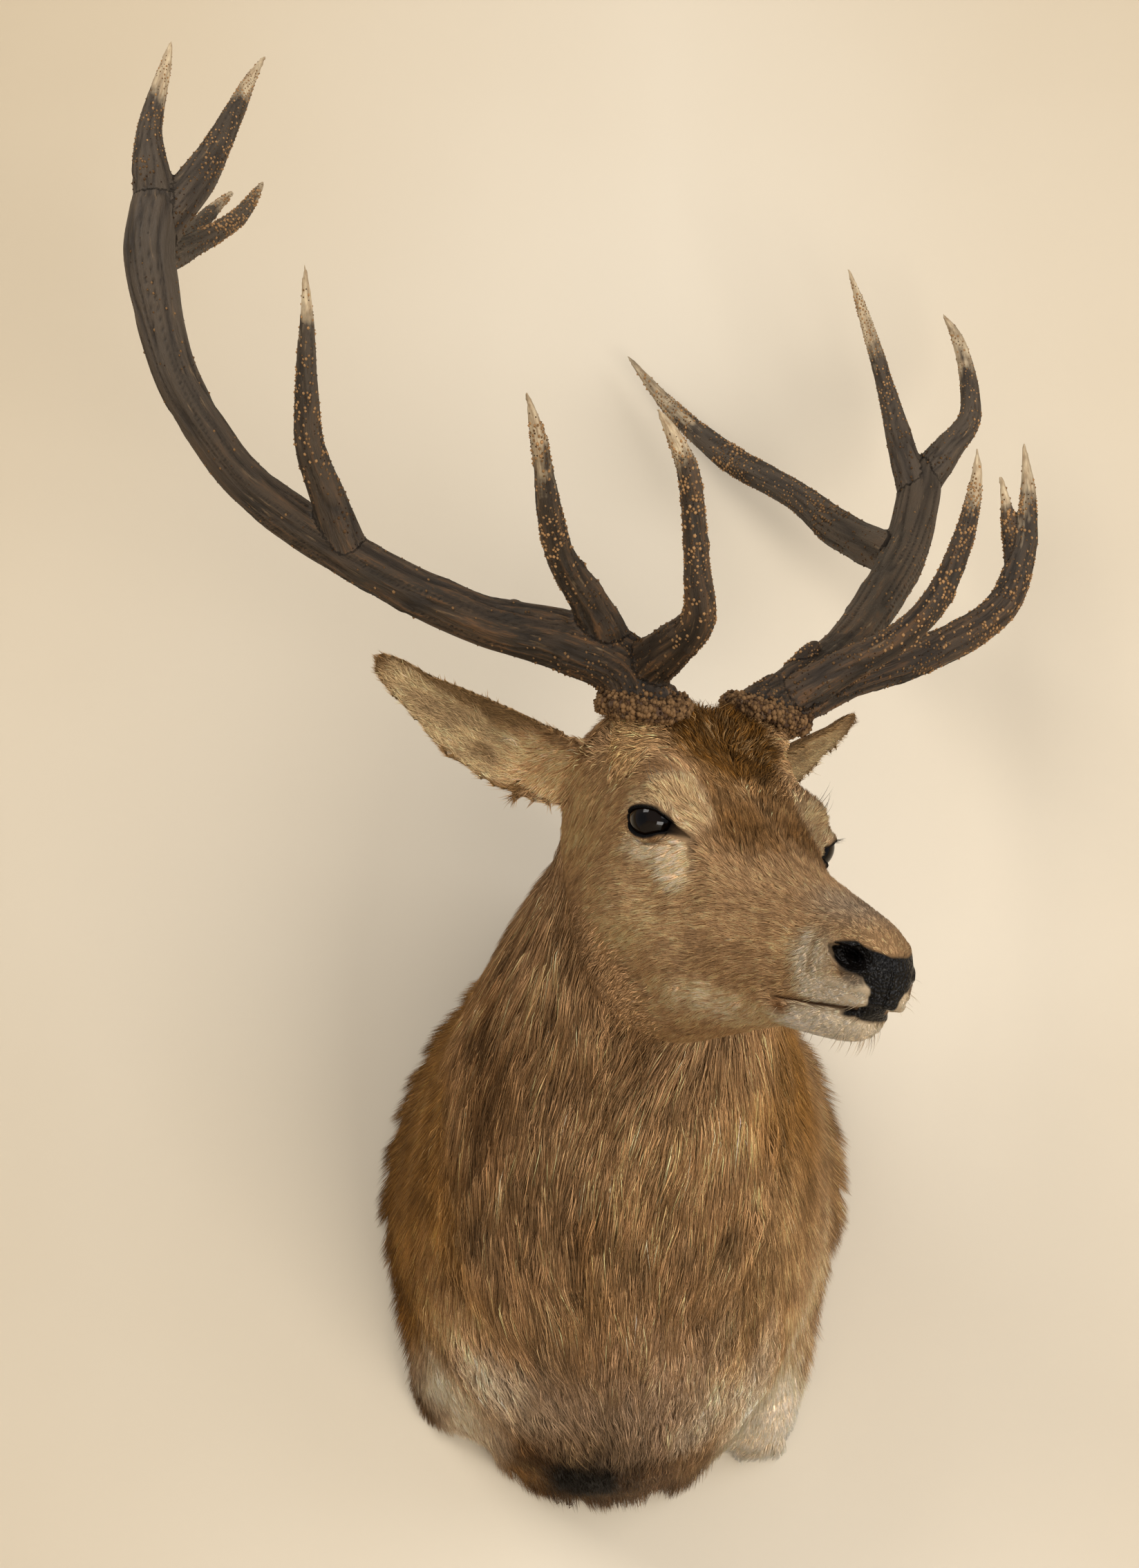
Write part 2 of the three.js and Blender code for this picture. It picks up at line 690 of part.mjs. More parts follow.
/** The coronet round the foot of an antler, swollen into beads along its rim. */
function burrForm(centre, axis) {
  const rim = steps(6).map((share) => {
    const angle = (share - 0.5) * Math.PI;
    const onAxis = share === 0 || share === 1;
    return new THREE.Vector2(
      onAxis ? 0 : BURR.radius * Math.sqrt(Math.cos(angle)),
      (Math.sin(angle) * BURR.height) / 2,
    );
  });
  const ring = new THREE.LatheGeometry(rim, 2 * BURR.beads);
  const position = ring.attributes.position;
  for (let i = 0; i < position.count; i++) {
    const angle = Math.atan2(position.getZ(i), position.getX(i));
    const swell = 1 + BURR.swell * Math.cos(BURR.beads * angle);
    position.setXYZ(i, position.getX(i) * swell, position.getY(i), position.getZ(i) * swell);
  }
  const turn = new THREE.Quaternion().setFromUnitVectors(new THREE.Vector3(0, 1, 0), axis);
  return solidOf(ring.applyQuaternion(turn).translate(...centre.toArray()));
}

/** Where an antler stands: its foot, the point in the skull below it, and the way it rises. */
function footing(name) {
  const [x, y, z] = PEDICLE.root;
  const root = headPoint(x, SIDES[name] * y, z);
  const foot = new THREE.Vector3(...ANTLERS[name].beam[0]);
  return { root, foot, axis: foot.clone().sub(root).normalize() };
}

function pedicle(name) {
  const { root, foot } = footing(name);
  const stem = [root, foot].map((p) => [...p.toArray(), PEDICLE.radius]);
  return taperedBar(stem, FAR, BEAM_SIDES);
}

/** Every node of one antler: its burr, the beam parted at its fork, and the tines. */
function antlerNodes(name, flesh) {
  const { beam, tines, fork } = ANTLERS[name];
  const { foot, axis } = footing(name);
  const onBurr = foot.clone().addScaledVector(axis, BURR.height / 2 - GAP);
  const aboveBurr = halfSpace(onBurr, axis, GAP);
  const burr = burrForm(foot, axis).subtract(halfSpace(onBurr, axis)).subtract(flesh);

  const beamCurve = smoothCurve(beam.map(([x, y, z]) => new THREE.Vector3(x, y, z)));
  const wholeBeam = taperedBar(beam, BEAM_STEP, BEAM_SIDES).intersect(aboveBurr);
  const [upper, lower] = cutAt(wholeBeam, beamCurve.getPointAt(fork), beamCurve.getTangentAt(fork));
  const nodes = { burr, beam_lower: lower, beam_upper: upper };

  let earlier = taperedBar(beam, BEAM_STEP, BEAM_SIDES, GAP);
  for (const [tine, points] of Object.entries(tines)) {
    nodes[tine] = taperedBar(points, TINE_STEP, TINE_SIDES).subtract(earlier).intersect(aboveBurr);
    earlier = earlier.add(taperedBar(points, TINE_STEP, TINE_SIDES, GAP));
  }
  return nodes;
}

// ---------------------------------------------------------------- assembly

const group = new THREE.Group();
group.name = "red_deer_stag_head_mount";

function addNode(name, solid, look) {
  const mesh = new THREE.Mesh(geometryOf(largest(solid)), look);
  mesh.name = name;
  group.add(mesh);
}

function buildHead() {
  let head = skullForm();
  for (const [name, side] of Object.entries(SIDES)) {
    const ear = earForm(name);
    const [cup, stump] = cutAt(ear.form, ear.joint, ear.axis);
    head = head.intersect(halfSpace(ear.joint, ear.axis.clone().negate(), GAP / 2)).add(stump);
    head = head.subtract(eyeOpening(side)).subtract(eyeball(side, GAP));
    addNode(`ear_${name}`, cup, material.ear);
    addNode(`eye_${name}`, eyeball(side, 0), material.eye);
  }
  return head;
}

function build() {
  let flesh = buildHead().add(bodyForm());
  for (const name of Object.keys(SIDES)) {
    flesh = flesh.add(shoulderForm(name)).add(pedicle(name));
  }
  flesh = flesh.intersect(halfSpace(new THREE.Vector3(), new THREE.Vector3(0, -1, 0)));
  addNode("backboard", backboard(0), material.plywood);
  flesh = flesh.subtract(backboard(GAP));

  for (const name of Object.keys(SIDES)) {
    for (const [part, solid] of Object.entries(antlerNodes(name, flesh))) {
      addNode(`antler_${name}_${part}`, solid, part === "burr" ? material.burr : material.antler);
    }
  }

  const neckWay = radians(NECK_JOINT.rise);
  const chestWay = radians(CHEST_JOINT.rise);
  const [head, bust] = cutAt(
    flesh,
    headPoint(...NECK_JOINT.point),
    headDirection(Math.cos(neckWay), 0, Math.sin(neckWay)),
  );
  const [neck, trunk] = cutAt(
    bust,
    new THREE.Vector3(...CHEST_JOINT.point),
    new THREE.Vector3(0, -Math.cos(chestWay), Math.sin(chestWay)),
  );
  addNode("neck", neck, material.neck);

  let chest = trunk;
  for (const name of Object.keys(SIDES)) {
    let shoulder;
    [shoulder, chest] = takeOut(chest, (grow) => shoulderTool(name, grow));
    addNode(`shoulder_${name}`, shoulder, material.shoulder);
  }
  addNode("chest", chest, material.chest);

  const [jaw, upperHead] = takeOut(head, jawTool);
  let [pad, face] = takeOut(upperHead, padTool);
  for (const side of Object.values(SIDES)) {
    pad = pad.subtract(nostril(side));
    face = face.subtract(nostril(side));
  }
  addNode("nose_pad", pad, material.pad);
  addNode("lower_jaw", jaw, material.jaw);
  addNode("head", face, material.face);
}

build();

export default group;
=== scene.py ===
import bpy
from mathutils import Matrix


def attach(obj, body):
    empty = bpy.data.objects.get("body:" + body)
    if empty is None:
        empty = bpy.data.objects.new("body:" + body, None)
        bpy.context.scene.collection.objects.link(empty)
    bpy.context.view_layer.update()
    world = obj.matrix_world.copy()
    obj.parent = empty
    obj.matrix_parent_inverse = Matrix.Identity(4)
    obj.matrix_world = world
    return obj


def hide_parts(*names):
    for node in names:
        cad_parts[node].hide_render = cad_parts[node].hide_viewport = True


bl_info = {
    "name": "Red deer stag head mount",
    "version": (1, 0, 0),
    "blender": (4, 5, 0),
    "location": "3D View > Sidebar > Stag",
    "description": "Dresses the packed solids of a red deer stag head mount: skin, coat, eyes and antlers",
    "category": "Object",
}

import math

import bpy
import numpy as np
from mathutils import Vector
from mathutils.kdtree import KDTree

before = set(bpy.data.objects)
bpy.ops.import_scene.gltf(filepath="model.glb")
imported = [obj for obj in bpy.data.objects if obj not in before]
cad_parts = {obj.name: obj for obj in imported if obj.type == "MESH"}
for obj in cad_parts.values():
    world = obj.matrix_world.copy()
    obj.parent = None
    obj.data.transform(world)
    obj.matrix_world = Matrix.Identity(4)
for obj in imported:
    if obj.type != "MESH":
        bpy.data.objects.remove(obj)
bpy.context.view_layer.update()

# ---- frame of the head

MM = 0.001
NOSE_TIP = np.array([0.194, -0.700, 0.100])
HEAD_TURN, HEAD_NOD, HEAD_TILT = (math.radians(a) for a in (34, 16, -3))
EYE_CENTRE = np.array([-234.0, 78.0, 70.0])  # head frame, millimetres, the left eye
EYE_RADIUS = 18.5
EAR_ROOTS = {"left": (-348, 70, 84), "right": (-348, -70, 84)}
EAR_TIPS = {"left": (-418, 241, 178), "right": (-421, -241, 148)}
EAR_OPENS = (0.8, 0.48, -0.36)
SIDES = {"left": 1, "right": -1}  # of the head, by the sign of its y

FLESH = (
    "head", "lower_jaw", "neck", "chest", "shoulder_left", "shoulder_right",
    "ear_left", "ear_right", "nose_pad",
)


def unit(v):
    v = np.asarray(v, float)
    return v / np.maximum(np.linalg.norm(v, axis=-1, keepdims=True), 1e-9)


def sizes(v):
    """The length of each vector in rows of them."""
    return np.linalg.norm(v, axis=1)


def head_axes():
    """Rows: forward to the nose, to the stag's left, and up through the crown."""
    forward = np.array([
        math.sin(HEAD_TURN) * math.cos(HEAD_NOD),
        -math.cos(HEAD_TURN) * math.cos(HEAD_NOD),
        -math.sin(HEAD_NOD),
    ])
    level = np.array([math.cos(HEAD_TURN), math.sin(HEAD_TURN), 0.0])
    left = level * math.cos(HEAD_TILT) + np.cross(forward, level) * math.sin(HEAD_TILT)
    return np.array([forward, left, np.cross(forward, left)])


HEAD = head_axes()


def to_head(points):
    """World metres to head-frame millimetres: x forward from the nose tip, y left, z up."""
    return (np.asarray(points) - NOSE_TIP) @ HEAD.T / MM


def from_head(points):
    return NOSE_TIP + (np.asarray(points, float) * MM) @ HEAD


def way_from_head(vectors):
    return np.asarray(vectors, float) @ HEAD


# ---- small numeric tools

def ramp(low, high, x):
    """0 up to the low value, rising smoothly to 1 at the high one."""
    t = np.clip((x - low) / (high - low), 0, 1)
    return t * t * (3 - 2 * t)


def blob(points, centre, reach):
    """1 at the centre of an ellipsoid, falling smoothly to 0 at its surface."""
    q = sizes((points - centre) / reach)
    return np.clip(1 - q * q, 0, 1) ** 2


def bell(distance, width):
    """1 at no distance, falling smoothly away on both sides."""
    return np.exp(-(distance / width) ** 2)


def mirrored(h):
    """Head-frame points with both sides folded onto the left."""
    return np.column_stack([h[:, 0], np.abs(h[:, 1]), h[:, 2]])


def side_of(h):
    """1 for each point on the left of the head, -1 for each on the right."""
    return np.where(h[:, 1] < 0, -1.0, 1.0)


def for_side(vector, side):
    """A vector given for the left of the head, turned over wherever the side is -1."""
    x, y, z = vector
    return np.column_stack([np.full(len(side), x), y * side, np.full(len(side), z)])


def dot(a, b):
    """Products of two sets of vectors, row by row, as a column."""
    return np.sum(a * b, axis=1, keepdims=True)


def square_to(way, normals):
    """Each vector without its part along the normal."""
    return way - normals * dot(way, normals)


CELL_STRIDES, SEED_STRIDE, STIR = (374761393, 668265263, 2147483647), 974634777, 1274126177
LOW_BITS = 0xFFFFFF


def hash01(cells, seed):
    """A fixed random number from 0 to 1 for each row of three whole numbers."""
    h = cells.astype(np.int64) @ np.array(CELL_STRIDES) + seed * SEED_STRIDE
    h = (h ^ (h >> 13)) * STIR
    h = h ^ (h >> 16)
    return (h & LOW_BITS) / LOW_BITS


def noise(points, size, seed):
    """Smooth value noise from -1 to 1 whose lumps are about `size` across."""
    q = points / size
    base = np.floor(q)
    f = q - base
    f = f * f * (3 - 2 * f)
    value = 0
    for corner in range(8):
        offset = np.array([corner & 1, (corner >> 1) & 1, corner >> 2])
        weight = np.prod(np.where(offset, f, 1 - f), axis=1)
        value = value + weight * hash01(base + offset, seed)
    return 2 * value - 1


def mix(a, b, t):
    """From a at 0 to b at 1, where t may be one value for each row."""
    t = np.asarray(t)[..., None] if np.ndim(a) > np.ndim(t) or np.ndim(b) > np.ndim(t) else t
    return a * (1 - t) + b * t


def linear(hex_colour):
    """A hex colour as linear red, green and blue."""
    c = np.array([int(hex_colour[i:i + 2], 16) for i in (0, 2, 4)]) / 255
    return np.where(c <= 0.04045, c / 12.92, ((c + 0.055) / 1.055) ** 2.4)


# ---- meshes as arrays

def mesh_arrays(mesh):
    """Vertices and triangles of a mesh."""
    mesh.calc_loop_triangles()
    v = np.empty(len(mesh.vertices) * 3, np.float32)
    mesh.vertices.foreach_get("co", v)
    t = np.empty(len(mesh.loop_triangles) * 3, np.int32)
    mesh.loop_triangles.foreach_get("vertices", t)
    return v.reshape(-1, 3).astype(float), t.reshape(-1, 3)


def linked(name, data):
    """A new object in the scene for a mesh, light or camera."""
    obj = bpy.data.objects.new(name, data)
    bpy.context.scene.collection.objects.link(obj)
    return obj


def new_object(name, vertices, faces):
    """A smooth object at the origin from arrays of vertices and triangles."""
    faces = np.asarray(faces, np.int32)
    mesh = bpy.data.meshes.new(name)
    mesh.vertices.add(len(vertices))
    mesh.vertices.foreach_set("co", np.asarray(vertices, np.float32).ravel())
    mesh.loops.add(faces.size)
    mesh.loops.foreach_set("vertex_index", faces.ravel())
    mesh.polygons.add(len(faces))
    mesh.polygons.foreach_set("loop_start", np.arange(0, faces.size, 3, dtype=np.int32))
    mesh.update(calc_edges=True)
    mesh.polygons.foreach_set("use_smooth", np.ones(len(faces), bool))
    mesh.validate()
    return linked(name, mesh)


def store(mesh, name, values, kind="FLOAT"):
    """Keeps one value for each vertex as a named attribute."""
    layers, full_kind, field = {
        "FLOAT": (mesh.attributes, "FLOAT", "value"),
        "VECTOR": (mesh.attributes, "FLOAT_VECTOR", "vector"),
        "COLOR": (mesh.color_attributes, "FLOAT_COLOR", "color"),
    }[kind]
    if kind == "COLOR":
        values = np.column_stack([values, np.ones(len(values))])
    layers.new(name, full_kind, "POINT").data.foreach_set(field, np.asarray(values, np.float32).ravel())


def corners_of(mesh):
    """The vertex at each corner of each face."""
    corners = np.empty(len(mesh.loops), np.int32)
    mesh.loops.foreach_get("vertex_index", corners)
    return corners


def evaluated(obj):
    """The mesh that an object's modifiers make. The object is taken away."""
    graph = bpy.context.evaluated_depsgraph_get()
    mesh = bpy.data.meshes.new_from_object(obj.evaluated_get(graph))
    old = obj.data
    bpy.data.objects.remove(obj)
    bpy.data.meshes.remove(old)
    return mesh


def worked_arrays(obj):
    """The same as vertices and triangles."""
    mesh = evaluated(obj)
    arrays = mesh_arrays(mesh)
    bpy.data.meshes.remove(mesh)
    return arrays


def edges_of(faces):
    pairs = np.sort(np.vstack([faces[:, [0, 1]], faces[:, [1, 2]], faces[:, [2, 0]]]), axis=1)
    return np.unique(pairs, axis=0)


def spread(values, edges, count):
    """The mean of each vertex's neighbours, for values of any width."""
    flat = values.reshape(len(values), -1)
    total = np.empty_like(flat)
    for k in range(flat.shape[1]):
        total[:, k] = np.bincount(edges[:, 0], flat[edges[:, 1], k], count)
        total[:, k] += np.bincount(edges[:, 1], flat[edges[:, 0], k], count)
    degree = np.bincount(edges.ravel(), minlength=count)[:, None]
    return (total / np.maximum(degree, 1)).reshape(values.shape)


def relax(vertices, edges, rounds, keep=0):
    """Smooths a mesh without shrinking it. `keep` holds each vertex back, from 0 to 1."""
    hold = 1 - np.broadcast_to(np.asarray(keep, float), (len(vertices),))[:, None]
    for _ in range(rounds):
        for factor in (0.6, -0.6 * 1.03):
            step = spread(vertices, edges, len(vertices)) - vertices
            vertices = vertices + factor * hold * step
    return vertices


def normals_of(vertices, faces):
    a, b, c = (vertices[faces[:, k]] for k in range(3))
    face = np.cross(b - a, c - a)
    total = np.column_stack([
        sum(np.bincount(faces[:, k], face[:, axis], len(vertices)) for k in range(3))
        for axis in range(3)
    ])
    return unit(total)


def split_triangles(vertices, faces, chosen):
    """Splits the chosen triangles in four, and their neighbours so that no gap opens."""
    sides = np.stack([faces[:, [0, 1]], faces[:, [1, 2]], faces[:, [2, 0]]], axis=1)
    pairs = np.sort(sides.reshape(-1, 2), axis=1)
    edges, which = np.unique(pairs, axis=0, return_inverse=True)
    which = which.reshape(-1, 3)
    cut = np.zeros(len(edges), bool)
    cut[which[chosen].ravel()] = True
    middle = np.full(len(edges), -1)
    middle[cut] = len(vertices) + np.arange(cut.sum())
    vertices = np.vstack([vertices, vertices[edges[cut]].mean(axis=1)])
    mark = cut[which]
    count = mark.sum(axis=1)
    # Each triangle's corners are columns 0 to 2, and the middles of its sides columns 3 to 5.
    six = np.hstack([faces, middle[which]])
    out = [faces[count == 0]]
    full = six[count == 3]
    out += [full[:, [0, 3, 5]], full[:, [3, 1, 4]], full[:, [5, 4, 2]], full[:, [3, 4, 5]]]
    for a, b, c in ((0, 1, 2), (1, 2, 0), (2, 0, 1)):
        one = six[(count == 1) & mark[:, a]]
        out += [one[:, [a, a + 3, c]], one[:, [a + 3, b, c]]]
        two = six[(count == 2) & ~mark[:, c]]
        out += [two[:, [a, a + 3, c]], two[:, [a + 3, b + 3, c]], two[:, [a + 3, b, b + 3]]]
    return vertices, np.vstack(out).astype(np.int32)


def nearest_index(tree, points):
    return np.array([tree.find(p)[1] for p in points])


def tree_of(points):
    tree = KDTree(len(points))
    for i, p in enumerate(points):
        tree.insert(p, i)
    tree.balance()
    return tree


def faces_of_rows(rows, around):
    """Triangles between rows of points round a bar, and to the points that close its ends."""
    first = np.arange(around)
    after = (first + 1) % around
    start = np.arange(rows - 1)[:, None] * around
    a, b = start + first, start + after
    last = (rows - 1) * around
    sides = np.stack([a, b, a + around, b, b + around, a + around], axis=1)
    return np.vstack([
        sides.reshape(-1, 3, around).swapaxes(1, 2).reshape(-1, 3),
        np.column_stack([np.full(around, rows * around), after, first]),
        np.column_stack([np.full(around, rows * around + 1), last + first, last + after]),
    ])


def ball_arrays(centre, radius, around=24, rows=16):
    """A closed ball as vertices and triangles."""
    polar = np.linspace(0, math.pi, rows + 1)[1:-1]
    turn = np.linspace(0, 2 * math.pi, around, endpoint=False)
    p, t = np.meshgrid(polar, turn, indexing="ij")
    ring = np.stack([np.sin(p) * np.cos(t), np.sin(p) * np.sin(t), np.cos(p)], axis=-1)
    v = np.vstack([ring.reshape(-1, 3), [[0, 0, 1], [0, 0, -1]]])
    return np.asarray(centre) + v * np.asarray(radius), faces_of_rows(rows - 1, around)[:, [0, 2, 1]]


def joined(parts):
    """One pair of arrays from several pairs of vertices and triangles."""
    vertices, faces, count = [], [], 0
    for v, f in parts:
        vertices.append(v)
        faces.append(f + count)
        count += len(v)
    return np.vstack(vertices), np.vstack(faces)


def remeshed(vertices, faces, voxel):
    """One even closed skin over overlapping closed shells, as vertices and triangles."""
    obj = new_object("shell", vertices, faces)
    remesh = obj.modifiers.new("Even skin", "REMESH")
    remesh.mode = "VOXEL"
    remesh.voxel_size = voxel
    return worked_arrays(obj)


# ---- lie, length and colour of the coat

NECK_PLANE = (-350, 5, math.radians(34))  # head frame: where the head ends and the neck begins
PALETTE = {name: linear(value) for name, value in {
    "face": "9e7a52", "cheek": "b79063", "bridge": "573a1b", "nose_top": "87735c", "brow": "614527",
    "forehead": "452b0c", "crown_pale": "8a6a40", "cream": "a28259", "under_eye": "dcb78c",
    "tear": "f6cb94", "lip": "e2c8a4", "chin": "f8e0bc", "temple": "c79c6a", "jaw": "dab084",
    "stain": "70461e", "ear_inside": "a98c62", "ear_shade": "7d6444", "ear_back": "6f5332",
    "ear_root": "d2a06c", "mane": "795b3c", "mane_dark": "331b05", "mane_pale": "a8875a",
    "streak": "94713a", "chest": "80603f", "chest_low": "836b54", "neck_left": "8a6840",
    "shoulder": "7b572a", "shoulder_left": "886843", "edge": "472b0c", "lobe_right": "c6ac8f",
    # black is painted under the brisket: its own dark hair with painted shade on the underside.
    "lobe_left": "e4ccaa", "armpit": "baa68c", "brisket": "5c4028", "black": "060403", "bare": "030202",
    "under_nostril": "54483b", "lid": "060404", "lower_lid": "7c5028",
}.items()}


def on_head(h):
    """1 on the head and ears, 0 on the neck and chest."""
    x, z, rise = NECK_PLANE
    return ramp(-14, 18, (h[:, 0] - x) * math.cos(rise) + (h[:, 2] - z) * math.sin(rise))


def ear_place(h, name):
    """How far along an ear each point lies, as a share, and how far off its axis."""
    root = np.array(EAR_ROOTS[name])
    axis = np.array(EAR_TIPS[name]) - root
    length = np.linalg.norm(axis)
    d = h - root
    t = d @ axis / length ** 2
    return t, sizes(d - np.outer(t, axis))


def ear_across(h):
    """Share of the way to an ear's tip, and millimetres across it towards its upper edge."""
    m = mirrored(h)
    root = np.array(EAR_ROOTS["left"])
    left_tip, right_tip = np.array(EAR_TIPS["left"]), np.array(EAR_TIPS["right"]) * (1, -1, 1)
    tip = mix(left_tip, right_tip, (h[:, 1] < 0).astype(float)[:, None])
    axis = tip - root
    long = np.linalg.norm(axis, axis=1, keepdims=True)
    axis = axis / long
    opens = unit(square_to(EAR_OPENS, axis))
    d = m - root
    across = np.cross(axis, opens)
    across = across * np.sign(across[:, 2:])
    return (dot(d, axis) / long)[:, 0], dot(d, across)[:, 0]


def on_ears(h):
    """1 on the free part of the ears, with the share of the way to the tip."""
    mask, share = np.zeros(len(h)), np.zeros(len(h))
    for name in EAR_ROOTS:
        t, off = ear_place(h, name)
        here = ramp(0.16, 0.3, t) * (off < 60)
        share = np.where(here > mask, t, share)
        mask = np.maximum(mask, here)
    return mask, share


def inside_ears(h, normals):
    """1 where a point of an ear faces the open side of its cup."""
    n = normals @ HEAD.T
    n[:, 1] *= np.sign(h[:, 1])
    return ramp(-0.1, 0.45, n @ unit(EAR_OPENS))


def within(a, b, outline, soft):
    """1 inside a closed outline, 0 outside, changing over `soft` each way."""
    corners = np.array(outline, float)
    gap, odd = np.full(len(a), 1e9), np.zeros(len(a), bool)
    for start, end in zip(corners, np.roll(corners, -1, axis=0)):
        (x, y), (dx, dy) = start, end - start
        t = np.clip(((a - x) * dx + (b - y) * dy) / ((end - start) @ (end - start)), 0, 1)
        gap = np.minimum(gap, np.hypot(a - x - t * dx, b - y - t * dy))
        if dy:
            odd ^= ((y > b) != (end[1] > b)) & (a < dx * (b - y) / dy + x)
    return ramp(-soft, soft, np.where(odd, gap, -gap))


# Places, each with the direction in which the hair lies there. In the head's frame, for its left side.
HEAD_LIE = (
    (-30, 0, 32, -1, 0, 0.1), (-100, 0, 54, -1, 0, 0.3), (-100, 40, 10, -1, 0.2, 0.05),
    (-170, 45, 59, -0.8, 0.2, 0.6), (-200, 10, 90, -1, 0.15, 0.5), (-240, 20, 112, -0.7, 0.6, 0.4),
    (-262, 24, 135, -0.5, 0.8, 0.3), (-290, 8, 150, -0.2, 0.45, 0.85), (-275, 62, 128, -0.3, 0.95, 0),
    (-222, 76, 101, -0.95, 0.3, 0.1), (-250, 86, 103, -0.9, 0.1, -0.4), (-288, 84, 96, -0.35, 0.2, -0.9),
    (-300, 84, 60, -0.35, 0, -0.95), (-330, 74, 25, -0.4, 0, -0.95), (-345, 74, 60, -0.3, 0.4, -0.9),
    (-230, 86, 40, -1, 0.2, -0.15), (-205, 70, 30, -0.8, 0.2, -0.6), (-265, 84, 40, -0.8, 0.1, -0.5),
    (-243, 86, 4, -1, 0.1, -0.2), (-183, 52, -35, -1, 0.1, -0.2), (-290, 70, -20, -0.75, 0, -0.7),
    (-290, 56, -72, -0.75, 0, -0.75), (-230, 50, -65, -0.95, 0, -0.4), (-100, 36, -34, -1, 0.05, -0.1),
    (-40, 30, -16, -0.9, 0.2, -0.25), (-16, 20, -22, -0.8, 0.3, -0.4), (-50, 38, 6, -0.6, 0.3, -0.7),
    (-40, 20, -52, -0.9, 0, -0.45), (-110, 20, -62, -1, 0, -0.2), (-200, 0, -88, -1, 0, -0.3),
    (-340, 62, -60, -0.5, 0, -1), (-330, 50, 125, -0.3, 0.8, 0.4),
)
# The same on the neck and chest, in world metres.
BODY_LIE = (
    (-0.06, -0.42, 0.2, -0.5, 0.25, -0.8), (-0.1, -0.33, 0.1, -0.45, 0.2, -0.85),
    (-0.14, -0.28, 0.03, -0.3, 0.15, -1), (-0.09, -0.36, 0, -0.22, 0.1, -1),
    (0.03, -0.42, -0.01, -0.2, 0.1, -1), (0.02, -0.41, 0.06, -0.5, 0.15, -0.85),
    (-0.04, -0.4, 0.09, -0.5, 0.15, -0.85), (-0.03, -0.4, -0.05, -0.05, 0.15, -1),
    (0.09, -0.4, 0.06, -0.05, 0.2, -1), (0.13, -0.33, 0, 0.08, 0.2, -1), (0.14, -0.3, 0.1, 0.3, 0.4, -0.85),
    (0.17, -0.2, 0, 0.1, 0.35, -0.9), (-0.02, -0.31, -0.14, 0, 0.35, -1),
    (-0.08, -0.29, -0.12, 0.1, 0.3, -1), (0.06, -0.29, -0.12, -0.1, 0.3, -1),
    (-0.02, -0.2, -0.24, 0.1, 0.9, -0.6), (0.01, -0.11, -0.28, 0.1, 1, -0.3),
    (-0.08, -0.2, -0.2, 0.5, 0.5, -0.7), (0.08, -0.19, -0.21, -0.5, 0.5, -0.7),
    (-0.12, -0.21, -0.17, 0.9, -0.1, -0.3), (-0.155, -0.15, -0.175, 0.9, -0.3, -0.05),
    (0.1, -0.21, -0.17, -0.6, 0.1, -0.7), (-0.16, -0.06, -0.21, 0.1, 0.2, -1),
    (0.12, -0.06, -0.23, 0, 0.15, -1), (-0.18, -0.18, -0.01, -0.15, 0.5, -0.9),
    (-0.2, -0.08, 0, -0.1, 0.6, -0.85), (0.2, -0.08, 0, 0.1, 0.6, -0.85), (0, -0.3, 0.28, 0, 1, -0.1),
    (0, -0.1, 0.26, 0, 1, 0), (-0.15, -0.15, 0.17, -0.35, 0.8, -0.6), (0.15, -0.15, 0.17, 0.35, 0.8, -0.6),
    (0.05, -0.45, 0.09, -0.1, 0.4, -0.9), (0, -0.38, 0.29, -0.2, 0.9, 0.1),
    (-0.15, -0.22, -0.1, 0.2, 0.3, -0.9), (0.14, -0.24, -0.09, -0.1, 0.3, -0.95),
)


def lie_of_coat(points, normals, h):
    """The way the hair lies at each point, as unit vectors along the skin."""
    side, m = side_of(h), mirrored(h)
    head_total = np.zeros_like(points)
    for *place, x, y, z in HEAD_LIE:
        w = 1 / (np.sum((m - place) ** 2, axis=1) + 120) ** 2
        head_total += w[:, None] * unit(for_side((x, y, z), side))
    head_way = unit(way_from_head(head_total))
    body_total = np.zeros_like(points)
    for *place, x, y, z in BODY_LIE:
        w = 1 / (np.sum(((points - place) / MM) ** 2, axis=1) + 250) ** 2
        body_total += w[:, None] * unit((x, y, z))
    way = mix(unit(body_total), head_way, on_head(h))
    ears, _ = on_ears(h)
    for name, sign in SIDES.items():
        axis = unit(way_from_head(np.array(EAR_TIPS[name]) - np.array(EAR_ROOTS[name])))
        way = mix(way, axis, ears * (np.sign(h[:, 1]) == sign))
    return unit(square_to(way, normals))


# Round spots on the head: centre and reach in the head frame, for the left side.
HEAD_SPOTS = {
    "cheek": ((-250, 70, -10), (110, 60, 80)),
    "jaw_back": ((-315, 50, -70), (90, 70, 75)),
    "forehead": ((-262, 0, 138), (108, 78, 66)),
    "poll": ((-345, 30, 135), (75, 70, 60)),
    "lid_ring": ((-232, 86, 67), (44, 34, 26)),
    "chin": ((-48, 10, -52), (72, 48, 22)),
    "upper_lip": ((-40, 26, -24), (50, 26, 17)),
    "temple": ((-325, 84, 55), (42, 40, 60)),
    "tuft": ((-286, 72, 122), (34, 30, 36)),
}
# The same on the body, in world metres.
BODY_SPOTS = {
    "middle": ((-0.02, -0.28, -0.10), (0.15, 0.17, 0.24)),
    "lobe_right": ((-0.155, -0.03, -0.215), (0.07, 0.15, 0.085)),
    "lobe_left": ((0.128, -0.03, -0.235), (0.062, 0.17, 0.10)),
    "brisket": ((-0.036, -0.13, -0.268), (0.095, 0.17, 0.058)),
}


